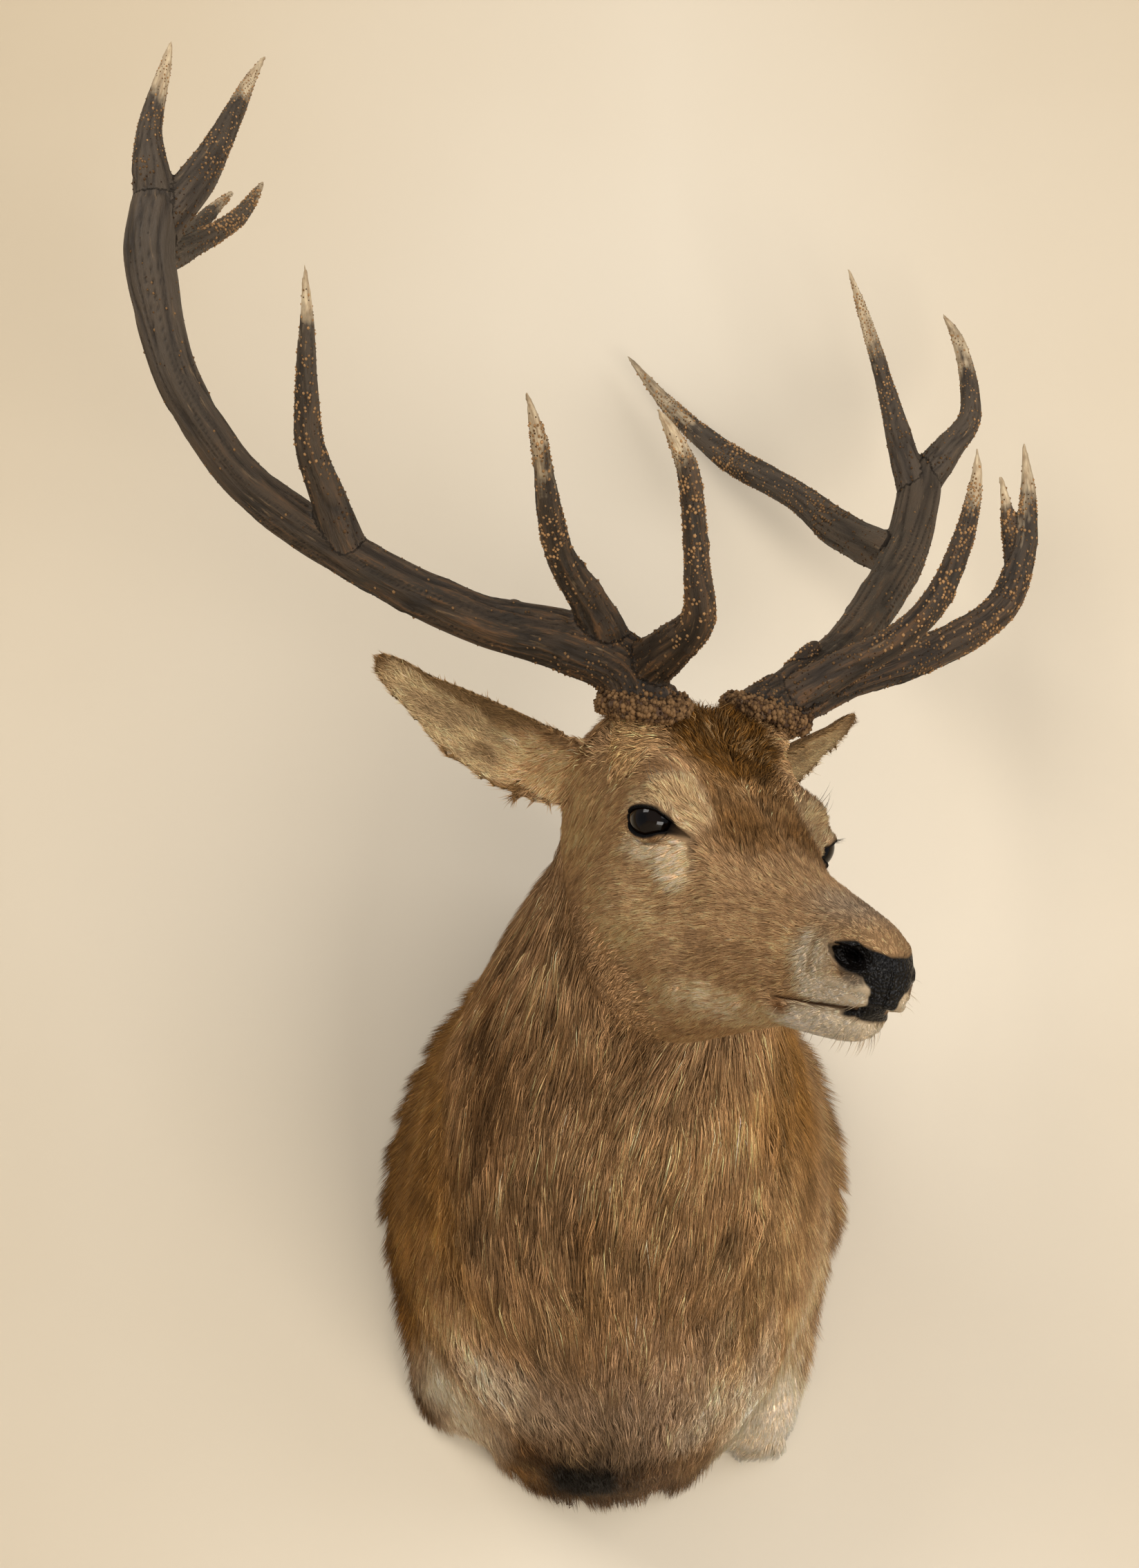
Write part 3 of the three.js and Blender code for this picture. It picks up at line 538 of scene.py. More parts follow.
def regions(points, h):
    """Named soft masks, from 0 to 1, that length, depth and colour share."""
    m = mirrored(h)
    head = on_head(h)
    body = 1 - head
    ears, share = on_ears(h)
    x, y, z = points.T
    ragged = 0.012 * noise(points, 0.03, seed=3)
    mane_start = -0.29 - 0.045 * ramp(0, 0.13, x)
    armpits = np.maximum(within(x, z, ARMPIT_RIGHT, 0.012), within(x, z, ARMPIT_LEFT, 0.012))
    r = {name: blob(m, *spot) * head for name, spot in HEAD_SPOTS.items()}
    r.update({name: blob(points, *spot) * body for name, spot in BODY_SPOTS.items()})
    r["middle"] = r["middle"] ** 0.5
    for name in ("lobe_right", "lobe_left"):
        r[name] = np.minimum(1, 1.9 * blob(points, *BODY_SPOTS[name])) * body
    r.update(
        head=head * (1 - ears), ears=ears, ear_share=share, muzzle=ramp(-110, -25, h[:, 0]) * head,
        mane=ramp(0.022, -0.022, y + ragged - mane_start) * body,
        armpit=armpits * (y < -0.03) * body, edge=ramp(-0.075, -0.01, y) * body,
        crest=blob(m, (-308, 0, 140), (66, 84, 62)),
    )
    return r


# Outlines of pale patches behind the forelegs, by x and z in metres.
ARMPIT_RIGHT = (
    (-0.182, -0.176), (-0.165, -0.168), (-0.120, -0.170), (-0.096, -0.182), (-0.085, -0.204),
    (-0.094, -0.222), (-0.108, -0.212), (-0.124, -0.203), (-0.150, -0.200), (-0.172, -0.215),
    (-0.184, -0.196),
)
ARMPIT_LEFT = (
    (0.066, -0.176), (0.104, -0.176), (0.135, -0.190), (0.120, -0.226), (0.085, -0.230), (0.062, -0.222),
    (0.054, -0.200),
)

# Outlines of markings. Nose and nostril by angle round the muzzle and height, the others by x and z.
NOSE_OUTLINE = (
    (-20, 11), (9, 11.5), (24, 13), (44, 16.5), (62, 15.5), (78, 14), (86, 10), (84, 5), (75, 2.5),
    (63, -2.5), (51, -6), (36, -7), (28, -9), (24, -13), (18, -16), (16, -21), (17, -28), (22, -33),
    (22, -40), (-20, -40),
)
UNDER_NOSTRIL = ((30, -4), (64, -3), (52, -12), (36, -17), (25, -14))
UPPER_PATCH = (
    (-262, 74), (-251, 86), (-236, 99), (-226, 103), (-220, 99), (-212, 91), (-197, 76), (-197, 64),
    (-208, 71), (-219, 79), (-231, 80), (-250, 76),
)
LOWER_PATCH = (
    (-254, 52), (-230, 55), (-215, 58), (-202, 60), (-196, 45), (-193, 30), (-201, 22), (-212, 26),
    (-221, 37), (-236, 38), (-251, 42),
)
TEAR_PATCH = ((-214, 46), (-203, 54), (-197, 46), (-194, 32), (-200, 24), (-210, 27), (-215, 36))


def around_nose(h):
    """Degrees round the muzzle from its front, allowing for its slight lean."""
    y = h[:, 1] + 6 * ramp(-70, -5, h[:, 0])
    return np.degrees(np.arctan2(np.abs(y), h[:, 0] + 45))


def nostril_reach(h):
    """Distance from the middle of a nostril as a share of its size, below 1 inside."""
    m = mirrored(h)
    m[:, 1] = np.abs(h[:, 1] + 4)
    long_way, out_way = unit((28, -13, -10)), unit((0.42, 0.9, 0.12))
    d = m - np.array([-27.5, 27.0, 4.0])
    along = d @ long_way
    across = d - np.outer(along, long_way) - np.outer(d @ out_way, out_way)
    taper = np.interp(along, [-19, -10, 2, 12, 19], [3.5, 6.6, 8.6, 7.4, 4.4])
    e = np.sqrt((along / 19) ** 2 + (sizes(across) / taper) ** 2)
    return np.where((h[:, 0] > -52) & (m[:, 1] > 8), e, 9.0)


def bare_skin(h):
    """1 on the black bare skin of nose and front lips, 0 on haired skin."""
    wobble = 1.3 * noise(h, 7, seed=31)
    angle = around_nose(h) + wobble
    x, y, z = h.T
    pad = within(angle, z + wobble, NOSE_OUTLINE, 1.2) * (x > -60)
    aside = np.abs(y + 6)
    lip = ramp(-33, -28, x + wobble) * ramp(-40.5, -38, z + wobble)
    lip = lip * ramp(-31, -33.5, z) * ramp(26, 21, aside + wobble)
    return np.clip(np.maximum(np.maximum(pad, lip), ramp(1.05, 0.9, nostril_reach(h))), 0, 1)


# The almond between the eyelids, in the plane across the eye's axis: its edges above and below.
LID_U = (-21, -18, -12, -3, 4, 9, 15, 19, 24, 31, 39)
LID_TOP = (-3.6, -1, 4.2, 8.2, 9.3, 9.2, 6.4, 3.6, 0.6, -1.4, -4.2)
LID_BOTTOM = (-4.4, -7.6, -11, -12.8, -12.4, -9.8, -6.2, -4.8, -4.2, -4.2, -4.8)
EYE_AXIS = unit((0.42, 0.90, -0.06))
EYE_SLANT = np.array([0.9, -0.42, -0.12])  # roughly along the lids, towards the nose
EYE_FORWARD = unit(EYE_SLANT - EYE_AXIS * np.dot(EYE_SLANT, EYE_AXIS))
EYE_UP = np.cross(EYE_FORWARD, EYE_AXIS) * np.sign(np.cross(EYE_FORWARD, EYE_AXIS)[2])


def eye_plane(h):
    """Along, up and out from the eye's centre, and how far a point is inside the almond."""
    d = mirrored(h) - EYE_CENTRE
    u, v, out = d @ EYE_FORWARD, d @ EYE_UP, d @ EYE_AXIS
    inside = np.minimum(np.interp(u, LID_U, LID_TOP) - v, v - np.interp(u, LID_U, LID_BOTTOM))
    ends = np.minimum(u - LID_U[0], LID_U[-1] - u)
    inside = np.where(ends < 0, -np.hypot(np.minimum(ends, 0), np.minimum(inside, 0)), inside)
    return u, v, out, inside


class Paint:
    """A colour for each point, painted over mark by mark."""

    def __init__(self, ground, count):
        self.colour = np.tile(PALETTE[ground], (count, 1))

    def __call__(self, name, mask):
        self.colour = mix(self.colour, PALETTE[name], np.clip(mask, 0, 1))


def paint_body(paint, points, r, rough):
    """Neck, mane, chest, shoulders and lobes."""
    x, y, z = points.T
    outer = (1 - r["middle"]) * (1 - r["mane"])
    right = ramp(-0.02, -0.13, x)
    left = ramp(0.04, 0.12, x)
    drift = x + 0.004 * noise(points, 0.03, seed=8)
    line = ramp(-0.015, -0.035, z) * ramp(-0.13, -0.10, z)
    line = line * (y < -0.2)

    def spots(*rows):
        for name, strength, centre, reach in rows:
            paint(name, strength * blob(points, centre, reach))

    paint("chest_low", ramp(-0.10, -0.18, z))
    paint("neck_left", 0.8 * left)
    paint("shoulder", 1.6 * outer * right)
    paint("shoulder_left", 1.2 * outer * left)
    paint("mane", r["mane"] * (1 - 0.75 * left))
    spots(
        ("mane_dark", 0.75, (-0.090, -0.37, 0.115), (0.052, 0.13, 0.10)),
        ("mane_dark", 0.65, (-0.108, -0.32, 0.040), (0.045, 0.13, 0.09)),
        ("shoulder", 2.2, (0.148, -0.31, 0.075), (0.062, 0.15, 0.12)),
        ("edge", 0.4, (0.150, -0.30, 0.06), (0.06, 0.16, 0.13)),
        ("mane_dark", 0.5, (-0.03, -0.37, -0.075), (0.022, 0.08, 0.05)),
        ("neck_left", 0.6, (0.03, -0.40, 0), (0.07, 0.10, 0.09)),
    )
    paint("crown_pale", 0.75 * bell(drift + 0.036, 0.0045) * line)
    paint("mane_dark", 0.8 * bell(drift + 0.024, 0.0045) * line)
    spots(("streak", 0.2, (0.083, -0.385, 0.058), (0.022, 0.06, 0.05)))
    paint("edge", 0.8 * r["edge"] * (1 - 0.5 * left))
    spots(
        ("shoulder_left", 0.7, (0.10, -0.27, -0.14), (0.07, 0.12, 0.08)),
        ("jaw", 0.45, (-0.145, -0.20, -0.125), (0.06, 0.10, 0.05)),
        ("jaw", 0.6, (0.17, -0.10, -0.10), (0.07, 0.16, 0.09)),
    )
    paint("lobe_right", 0.95 * r["lobe_right"])
    paint("edge", 1.2 * r["lobe_right"] * ramp(-0.148, -0.170, x + 0.006 * rough))
    paint("lobe_left", 0.97 * r["lobe_left"])
    paint("armpit", 0.85 * r["armpit"])
    spots(
        ("brisket", 1, (-0.085, -0.13, -0.245), (0.08, 0.16, 0.06)),
        ("brisket", 0.8, (0.03, -0.14, -0.265), (0.12, 0.16, 0.05)),
    )
    # Near-black under the chest: the brisket's dark hair and painted shade on its underside.
    paint("black", 2.2 * r["brisket"] + 0.3 * rough * r["brisket"])


def paint_head(paint, h, r, rough):
    """Face, crown, patches round the eyes, lips and chin."""
    m = mirrored(h)
    x, z = m[:, 0] + 2.2 * rough, m[:, 2] + 2.2 * noise(h, 7, seed=34)
    side = ramp(40, 52, m[:, 1])
    from_nostril = sizes((m - (-36, 34, 3)) / (1, 1, 1.25))
    behind = ramp(-38, -52, m[:, 0]) * ramp(24, 10, m[:, 2]) * ramp(-30, -12, m[:, 2])
    bridge = np.clip(1.3 * blob(m, (-176, 22, 66), (66, 50, 34)) * (1 + 0.5 * rough), 0, 1)
    front_lip = 1.6 * blob(h, (-8, 16, -24), (26, 26, 22)) + 1.4 * blob(h, (-12, -26, -20), (26, 24, 18))

    paint("face", r["head"])
    paint("cheek", 0.8 * r["cheek"])
    paint("face", np.minimum(1.6 * r["jaw_back"], 0.5))
    paint("mane", 0.5 * blob(m, (-232, 60, -52), (50, 40, 26)) * (1 + rough))
    paint("mane", np.minimum(1.5 * blob(m, (-335, 60, -60), (75, 70, 110)), 0.9))
    paint("jaw", 0.75 * blob(m, (-160, 40, -60), (100, 60, 26)))
    paint("nose_top", 0.9 * blob(m, (-62, 8, 38), (56, 40, 30)))
    paint("brow", np.minimum(1.4 * blob(m, (-205, 26, 84), (84, 50, 44)), 0.9))
    paint("bridge", 0.7 * bridge)
    paint("brow", 0.7 * blob(m, (-250, 70, 108), (34, 30, 14)))
    paint("forehead", 1.9 * r["forehead"])
    paint("forehead", 0.8 * r["poll"])
    paint("crown_pale", 0.9 * r["temple"] * (0.5 + 0.5 * rough))
    paint("temple", 0.6 * r["temple"])
    paint("crown_pale", np.minimum(1.6 * r["tuft"], 0.75) * (m[:, 1] > 30))
    paint("under_eye", 0.7 * within(x, z, UPPER_PATCH, 9) * side)
    paint("cream", 0.95 * within(x - 2, z - 1, UPPER_PATCH, 5) * side * ramp(-262, -235, x))
    paint("under_eye", 0.95 * within(x, z, LOWER_PATCH, 6) * side)
    paint("tear", within(x, z, TEAR_PATCH, 5) * side)
    paint("lower_lid", 0.8 * blob(m, (-216, 80, 55), (20, 16, 4.5)))
    paint("lip", 0.7 * blob(m, (-56, 38, -2), (34, 24, 30)))
    paint("brow", 0.55 * bell(from_nostril - 23, 3) * behind)
    paint("lip", 0.5 * bell(from_nostril - 33, 4.5) * behind)
    paint("lip", np.minimum(1.8 * r["upper_lip"], 0.95))
    paint("chin", np.minimum(1.8 * r["chin"], 0.95))
    paint("lip", np.minimum(front_lip, 0.95))
    paint("stain", 0.95 * blob(m, (-88, 34, -46), (17, 16, 12)))


def ear_colours(h, normals, rough):
    """Colours of both ears, and where the pale hair at their roots shows."""
    p, m = PALETTE, mirrored(h)
    inner = inside_ears(h, normals)
    t, s = ear_across(h)
    s = s + 2.5 * rough
    back = mix(p["ear_back"], p["edge"], 0.5 * ramp(0.75, 1, t)[:, None])
    shade = 0.4 * ramp(-0.1, 0.5, noise(h, 14, seed=17))
    front = mix(p["ear_inside"], p["ear_shade"], shade[:, None])
    for name, centre, reach, share in (
        ("ear_shade", (0.62, -10), (0.22, 8), 0.6), ("edge", (0.40, -24), (0.07, 6), 0.5),
        ("tear", (0.29, 0), (0.09, 11), 0.6), ("ear_shade", (0.27, -30), (0.10, 9), 0.6),
    ):
        spot = np.clip(1 - ((t - centre[0]) / reach[0]) ** 2 - ((s - centre[1]) / reach[1]) ** 2, 0, 1)
        front = mix(front, p[name], (share * ramp(0, 0.6, spot))[:, None])
    rim = np.maximum(ramp(0.86, 0.98, t), 0.85 * ramp(4, 11, s + 14 * (1 - t)))
    front = mix(front, p["ear_back"], rim[:, None])
    root = ramp(0.36, 0.24, t) * ramp(0, 0.08, t) * ramp(30, 16, np.abs(s + 10)) * inner
    return mix(back, front, inner), 0.9 * root * (m[:, 1] > 55) * (np.abs(m[:, 0] + 380) < 70)


def paint_bare_parts(paint, h, rough):
    """Lids, tear slit, the line of the mouth, and the black nose."""
    x, y, z = mirrored(h).T
    u, v, out, inside = eye_plane(h)
    near = (out > -8) & (np.hypot(u, v) < 48)
    slit = bell(x - slit_line(z), 1.7) * ramp(33, 40, z)
    slit = slit * ramp(64, 58, z) * (y > 45)
    duct = ramp(15, 34, u)
    rim = ramp(-4.2 + 3.2 * duct, -1.6 + 2.4 * duct, inside + 0.8 * rough) * near * (1 - 0.4 * duct)
    mouth = bell(z - lip_height(x), 1.4) * ramp(-106, -96, x)
    under = within(around_nose(h), h[:, 2], UNDER_NOSTRIL, 2.5)
    paint("lid", np.maximum(rim, 0.75 * slit))
    paint("stain", 0.8 * mouth)
    paint("under_nostril", 0.75 * under * (h[:, 0] > -60))
    paint("bare", bare_skin(h))


def coat_colour(points, h, normals):
    """Markings that skin and coat share."""
    r = regions(points, h)
    rough = noise(h, 7, seed=33)
    paint = Paint("chest", len(points))
    paint_body(paint, points, r, rough)
    paint_head(paint, h, r, rough)
    ears, roots = ear_colours(h, normals, rough)
    paint.colour = mix(paint.colour, ears, r["ears"])
    paint("ear_root", roots)
    tone = 1 + 0.10 * noise(points, 0.045, seed=5) + 0.10 * noise(points, 0.012, seed=6)
    streaks = 0.2 * noise(points * (1, 1, 0.2), 0.009, seed=7)
    streaks = streaks + 0.3 * noise(points * (1, 1, 0.25), 0.02, seed=9)
    shaggy = (1 - r["head"]) * (1 - r["ears"]) * (0.4 + 0.6 * np.maximum(r["mane"], r["middle"]))
    paint.colour = paint.colour * (tone + streaks * shaggy)[:, None]
    paint_bare_parts(paint, h, rough)
    return paint.colour


def slit_line(z):
    """How far back the crease below the eye's inner corner runs, at each height."""
    return np.interp(z, [30, 42, 50, 60, 66], [-193, -193.5, -196.5, -197.5, -203])


def lip_height(x):
    """Height of the line where the lips meet, along the muzzle."""
    return np.interp(x, [-112, -90, -75, -57, -36, -20, -5], [-42, -38.5, -37.5, -36, -34, -32, -30.5])


def coat_layers(r):
    """Masks in the order they are laid, with the hair's length and the coat's depth in millimetres."""
    return (
        (r["middle"], 44, 9), (r["mane"], 62, 12), (r["edge"], 19, 6), (r["lobe_right"], 9, 3),
        (r["lobe_left"], 8, 3), (r["armpit"], 17, None), (r["brisket"], 26, 9), (r["head"], 9, 2.6),
        (r["muzzle"] * (1 - r["ears"]), 4.5, 0.7), (r["cheek"], 12, 3.6), (r["jaw_back"], 21, 5.5),
        (r["forehead"] ** 0.5, 21, 4.5), (r["poll"], 26, 6), (r["temple"], 15, None), (r["tuft"], 24, None),
        (r["lid_ring"] ** 0.5, 4.2, 1.2), (r["chin"], 8, 1.2), (r["ears"], 9, 1.3 - 0.6 * r["ear_share"]),
    )


def coat_length(r):
    """Length of the hair in millimetres."""
    total = np.full(len(r["head"]), 19.0)
    for mask, length, _ in coat_layers(r):
        total = mix(total, length, np.clip(mask, 0, 1))
    return total


def coat_depth(r):
    """How far the skin lies below the tips of the hair, in millimetres."""
    total = np.full(len(r["head"]), 7.0)
    for mask, _, depth in coat_layers(r):
        if depth is not None:
            total = mix(total, depth, np.clip(mask, 0, 1))
    return total


# ---- skin

WORK = {}  # what the skin leaves for the coat: arrays of its own


def flesh_shell():
    """The flesh nodes as slightly swollen closed shells, with the eye sockets filled."""
    parts = []
    for name in FLESH:
        v, f = mesh_arrays(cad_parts[name].data)
        v, index = np.unique(np.round(v, 6), axis=0, return_inverse=True)
        f = index.ravel()[f]
        f = f[(f[:, 0] != f[:, 1]) & (f[:, 1] != f[:, 2]) & (f[:, 0] != f[:, 2])]
        parts.append((v + 0.3 * MM * normals_of(v, f), f))
    for side in SIDES.values():
        centre = EYE_CENTRE * (1, side, 1)
        parts.append(ball_arrays(from_head(centre), (EYE_RADIUS + 1) * MM))
        parts.append(ball_arrays(from_head(centre + (4, 5 * side, -2)), 15 * MM))
    return joined(parts)


def sculpt_eyes(v, n):
    """Lays the lids over the eyeballs and opens the almond between them."""
    h = to_head(v)
    side, (x, y, z) = side_of(h), mirrored(h).T
    u, w, out, inside = eye_plane(h)
    facing = (n @ HEAD.T * for_side((1, 1, 1), side)) @ EYE_AXIS
    rho = np.hypot(u, w)
    near = (out > 0) & (facing > -0.1) & (rho < 60)
    ball = np.sqrt(np.maximum(EYE_RADIUS ** 2 - rho ** 2, 0))
    lid = np.sqrt(np.maximum((EYE_RADIUS + 1.9) ** 2 - rho ** 2, 0))
    over = rho < EYE_RADIUS + 1.5
    closeness = 1 - ramp(0.5, 13, -inside)
    lidded = np.where(over, np.maximum(mix(out, lid, closeness), lid), out)
    lidded = lidded + 1.3 * bell(inside + 2.2, 2)
    lidded = lidded - 1.4 * bell(inside + 7, 1.6) * ramp(-4, 3, w)
    lidded = lidded - 0.9 * bell(inside + 6.5, 1.5) * ramp(0, -6, w)
    corner = mix(lidded, np.minimum(out, 15) - 3, ramp(-1.5, 1.5, inside))
    opened = mix(lidded, np.where(rho < 17.2, ball - 2.4, corner), ramp(-0.4, 0.7, inside))
    target = np.where(near, opened, out)
    fade = 1 - ramp(44, 56, rho)
    move = (target - out) * fade
    slit = bell(x - slit_line(z), 2.2)
    slit = slit * ramp(33, 42, z) * ramp(66, 60, z) * (y > 45)
    outward = for_side(EYE_AXIS, side) * move[:, None]
    return v + way_from_head(outward) * MM - n * (2.6 * slit * MM)[:, None]


def sculpt_muzzle(v, n):
    """Nostrils, lips, chin and the folds beside them."""
    h = to_head(v)
    m = mirrored(h)
    x, y, z = m.T
    push = np.zeros(len(v))
    lips = ramp(-104, -90, x)
    dz = z - lip_height(x)
    front = ramp(-120, -100, x)
    from_nostril = np.hypot(x + 48, z - 3)
    push -= 3.6 * bell(dz, 1.7) * lips * front
    push += 1.6 * bell(dz - 5, 3.4) * lips * ramp(2, -30, z)
    push += 1.1 * bell(dz + 4.6, 2.8) * lips
    push -= 1.2 * bell(from_nostril - 14, 2) * ramp(-50, -58, x) * (y > 22)
    push -= 0.9 * bell(from_nostril - 20, 2) * ramp(-56, -64, x) * (y > 22)
    push -= 1.6 * bell(x + 108 + 0.45 * (z + 38), 2.4) * ramp(14, 7, np.abs(z + 38))
    push -= 1.1 * bell(h[:, 1] + 6, 1.2) * ramp(-20, -6, x) * ramp(9, -4, z)
    push += 2.4 * blob(m, (-22, 24, -22), (34, 14, 13))
    push -= 1.6 * bell(dz - 11.5 + 0.12 * (x + 30), 2.2) * ramp(-52, -40, x) * (y > 15)
    v = v + n * (push * MM)[:, None]

    e = nostril_reach(to_head(v))
    pit = ramp(1.02, 0.62, e)
    rim = bell(e - 1.15, 0.17)
    inward = for_side((-0.82, -0.55, 0.08), side_of(h))
    v = v + way_from_head(inward * (pit * 11)[:, None]) * MM
    return v + n * (rim * 1.5 * MM)[:, None]


def thinned(vertices, faces, share, hold):
    """Fewer triangles where `hold` is 0, and all of them where it is 1."""
    obj = new_object("thinning", vertices, faces)
    group = obj.vertex_groups.new(name="let_go")
    level = np.round((1 - hold) * 10) / 10
    for value in np.unique(level):
        group.add(np.nonzero(level == value)[0].tolist(), float(value), "REPLACE")
    fewer = obj.modifiers.new("Fewer faces", "DECIMATE")
    fewer.ratio = share
    fewer.vertex_group = "let_go"
    fewer.vertex_group_factor = 1
    return worked_arrays(obj)


def held(v, ears, edge):
    """How far smoothing leaves ears and the edge on the wall alone, from 0 to 1."""
    return np.clip(ears * on_ears(to_head(v))[0] + edge * ramp(-0.012, -0.004, v[:, 1]), 0, 1)


def build_skin(settings):
    """The joined flesh, smoothed, sunk by the coat's depth, and given lids, lips and nostrils."""
    v, f = remeshed(*flesh_shell(), settings.voxel)
    v = relax(v, edges_of(f), settings.even, keep=held(v, 0.55, 0.8))
    v, f = thinned(v, f, settings.kept, ramp(-0.3, 0.6, on_head(to_head(v)) - 0.3))
    v = relax(v, edges_of(f), 6, keep=held(v, 0.6, 1))
    m, edges = mirrored(to_head(v)), edges_of(f)
    throat = ramp(1, 0.55, sizes((m - (-350, 40, -60)) / (80, 95, 120)))
    for _ in range(settings.throat):
        v = v + (0.6 * throat)[:, None] * (spread(v, edges, len(v)) - v)
    t, s = ear_across(to_head(v))
    blunt = 4 * np.clip(1 - ((t - 0.93) / 0.13) ** 2, 0, 1) * np.clip(s / 5, -1, 1)
    blunt = blunt * on_ears(to_head(v))[0]
    v = v + way_from_head(np.column_stack([0 * t, 0 * t, blunt])) * MM
    n = normals_of(v, f)
    h = to_head(v)
    v = v - n * (coat_depth(regions(v, h)) * MM)[:, None] * ramp(0, -0.02, v[:, 1])[:, None] ** 0.5
    v[:, 1] = np.minimum(v[:, 1], 0)

    for reach in (1.25, 0.9):
        middle = mirrored(to_head(v)[f].mean(axis=1))
        eye = sizes((middle - EYE_CENTRE - (4, 10, -3)) / (34, 26, 24)) < reach
        x, _, z = middle.T
        nose = (x > -46 * reach) & (z < 30)
        mouth = (x > -114) & (np.abs(z - lip_height(x)) < 7 * reach)
        size = sizes(v[f[:, 0]] - v[f[:, 1]])
        v, f = split_triangles(v, f, (eye | nose | mouth) & (size > 0.9 * MM))
    v = relax(v, edges_of(f), 4, keep=0.3)
    v = sculpt_muzzle(v, normals_of(v, f))
    v = sculpt_eyes(v, normals_of(v, f))
    inside = eye_plane(to_head(v))[3]
    ease = 0.35 * (1 - (np.abs(inside) > 1.2) * 0.4)[:, None]
    v = v + ease * (spread(v, edges_of(f), len(v)) - v) * (on_head(to_head(v)) > 0.5)[:, None]
    v[:, 1] = np.minimum(v[:, 1], 0)
    return v, f


# ---- coat

def combed(v, n, h):
    """Coordinates that run slowly along the lie of the coat and fast across it."""
    way = lie_of_coat(v, n, h)
    across = np.cross(n, way)
    return np.hstack([dot(v, across), 0.3 * dot(v, n), dot(v, way)])


class Hide:
    """The finished skin with everything that hair growing from it needs to know."""

    def __init__(self, v, f):
        self.v, self.f = v, f
        self.h = to_head(v)
        self.n = normals_of(v, f)
        self.r = regions(v, self.h)
        self.colour = coat_colour(v, self.h, self.n)
        self.bare = bare_skin(self.h)
        edges = edges_of(f)
        way = lie_of_coat(v, self.n, self.h)
        for _ in range(6):
            way = unit(square_to(way + spread(way, edges, len(v)), self.n))
        self.way = way
        self.length = coat_length(self.r)
        self.depth = coat_depth(self.r)
        self.near = self.neighbour_table(edges)
        a, b, c = (v[f[:, k]] for k in range(3))
        self.area = sizes(np.cross(b - a, c - a)) / 2 / MM**2
        rim = inside_ears(self.h, self.n) * self.r["ears"]
        self.length = self.length + 10 * rim * (self.r["ears"] - rim)
        self.unwrap = WORK["unwrap"]
        self.lie = combed(v, self.n, self.h)

    def neighbour_table(self, edges):
        count = len(self.v)
        both = np.vstack([edges, edges[:, ::-1]])
        both = both[np.argsort(both[:, 0], kind="stable")]
        degree = np.bincount(both[:, 0], minlength=count)
        start = np.concatenate([[0], np.cumsum(degree)[:-1]])
        slot = np.arange(len(both)) - start[both[:, 0]]
        table = np.repeat(np.arange(count)[:, None], 9, axis=1)
        kept = slot < 8
        table[both[kept, 0], slot[kept] + 1] = both[kept, 1]
        return table

    def follow(self, at, points, hops=5):
        """The vertex nearest each point, found by walking over the skin from `at`."""
        for _ in range(hops):
            around = self.near[at]
            gap = np.sum((self.v[around] - points[:, None]) ** 2, axis=2)
            at = around[np.arange(len(at)), np.argmin(gap, axis=1)]
        return at

    def roots(self, density, seed):
        """Points on the skin, `density` to the square centimetre at each vertex."""
        rng = np.random.default_rng(seed)
        wanted = self.area / 100 * density[self.f].mean(axis=1)
        count = np.floor(wanted + rng.random(len(wanted))).astype(int)
        face = np.repeat(np.arange(len(self.f)), count)
        a, b = rng.random(len(face)), rng.random(len(face))
        over = a + b > 1
        a[over], b[over] = 1 - a[over], 1 - b[over]
        weight = np.column_stack([1 - a - b, a, b])
        corner = self.f[face]
        at = corner[np.arange(len(face)), np.argmax(weight, axis=1)]
        return {"corner": corner, "weight": weight, "at": at, "rng": rng}

    def value(self, roots, field):
        picked = field[roots["corner"]]
        weight = roots["weight"]
        return np.sum(picked * (weight[..., None] if picked.ndim == 3 else weight), axis=1)

    def strands(self, roots, length, height, joints, stray, wave, turns, phase, sway):
        """Points of each hair from root to tip, laid along the skin."""
        rng = roots["rng"]
        count = len(roots["at"])
        base = self.value(roots, self.v)
        at = roots["at"]
        out = unit(self.value(roots, self.n))
        way = unit(self.value(roots, self.way))
        angle = rng.normal(0, 1, count) * stray + sway
        way = way * np.cos(angle)[:, None] + np.cross(out, way) * np.sin(angle)[:, None]
        points = [base - out * 0.4 * MM]
        for k in range(joints):
            t = (k + 1) / joints
            base = base + way * (length / joints * MM)[:, None]
            at = self.follow(at, base)
            n = self.n[at]
            base = base - n * dot(base - self.v[at], n)
            way = unit(square_to(unit(0.55 * self.way[at] + 0.45 * way), n))
            across = np.cross(n, way)
            bend = wave * np.sin(phase + 2 * math.pi * turns * t) * t
            rise = height * (2 * t - t * t)
            points.append(base + n * (rise * MM)[:, None] + across * (bend * MM)[:, None])
        return np.stack(points, axis=1)


def gathered(points, spacing, pull, rng):
    """Draws hairs together towards the tips, as locks do. `spacing` in millimetres."""
    count = len(points)
    picked = rng.choice(count, max(8, int(count * pull["share"])), replace=False)
    tree = tree_of(points[picked, 0])
    owner = np.empty(count, int)
    gap = np.empty(count)
    for i, p in enumerate(points[:, 0]):
        _, owner[i], gap[i] = tree.find(p)
    hold = pull["hold"] * np.clip(1.4 - gap / (spacing * MM), 0, 1)
    weight = (hold[:, None] * np.linspace(0, 1, points.shape[1]) ** 1.4)[..., None]
    return points + (points[picked[owner]] - points) * weight, owner


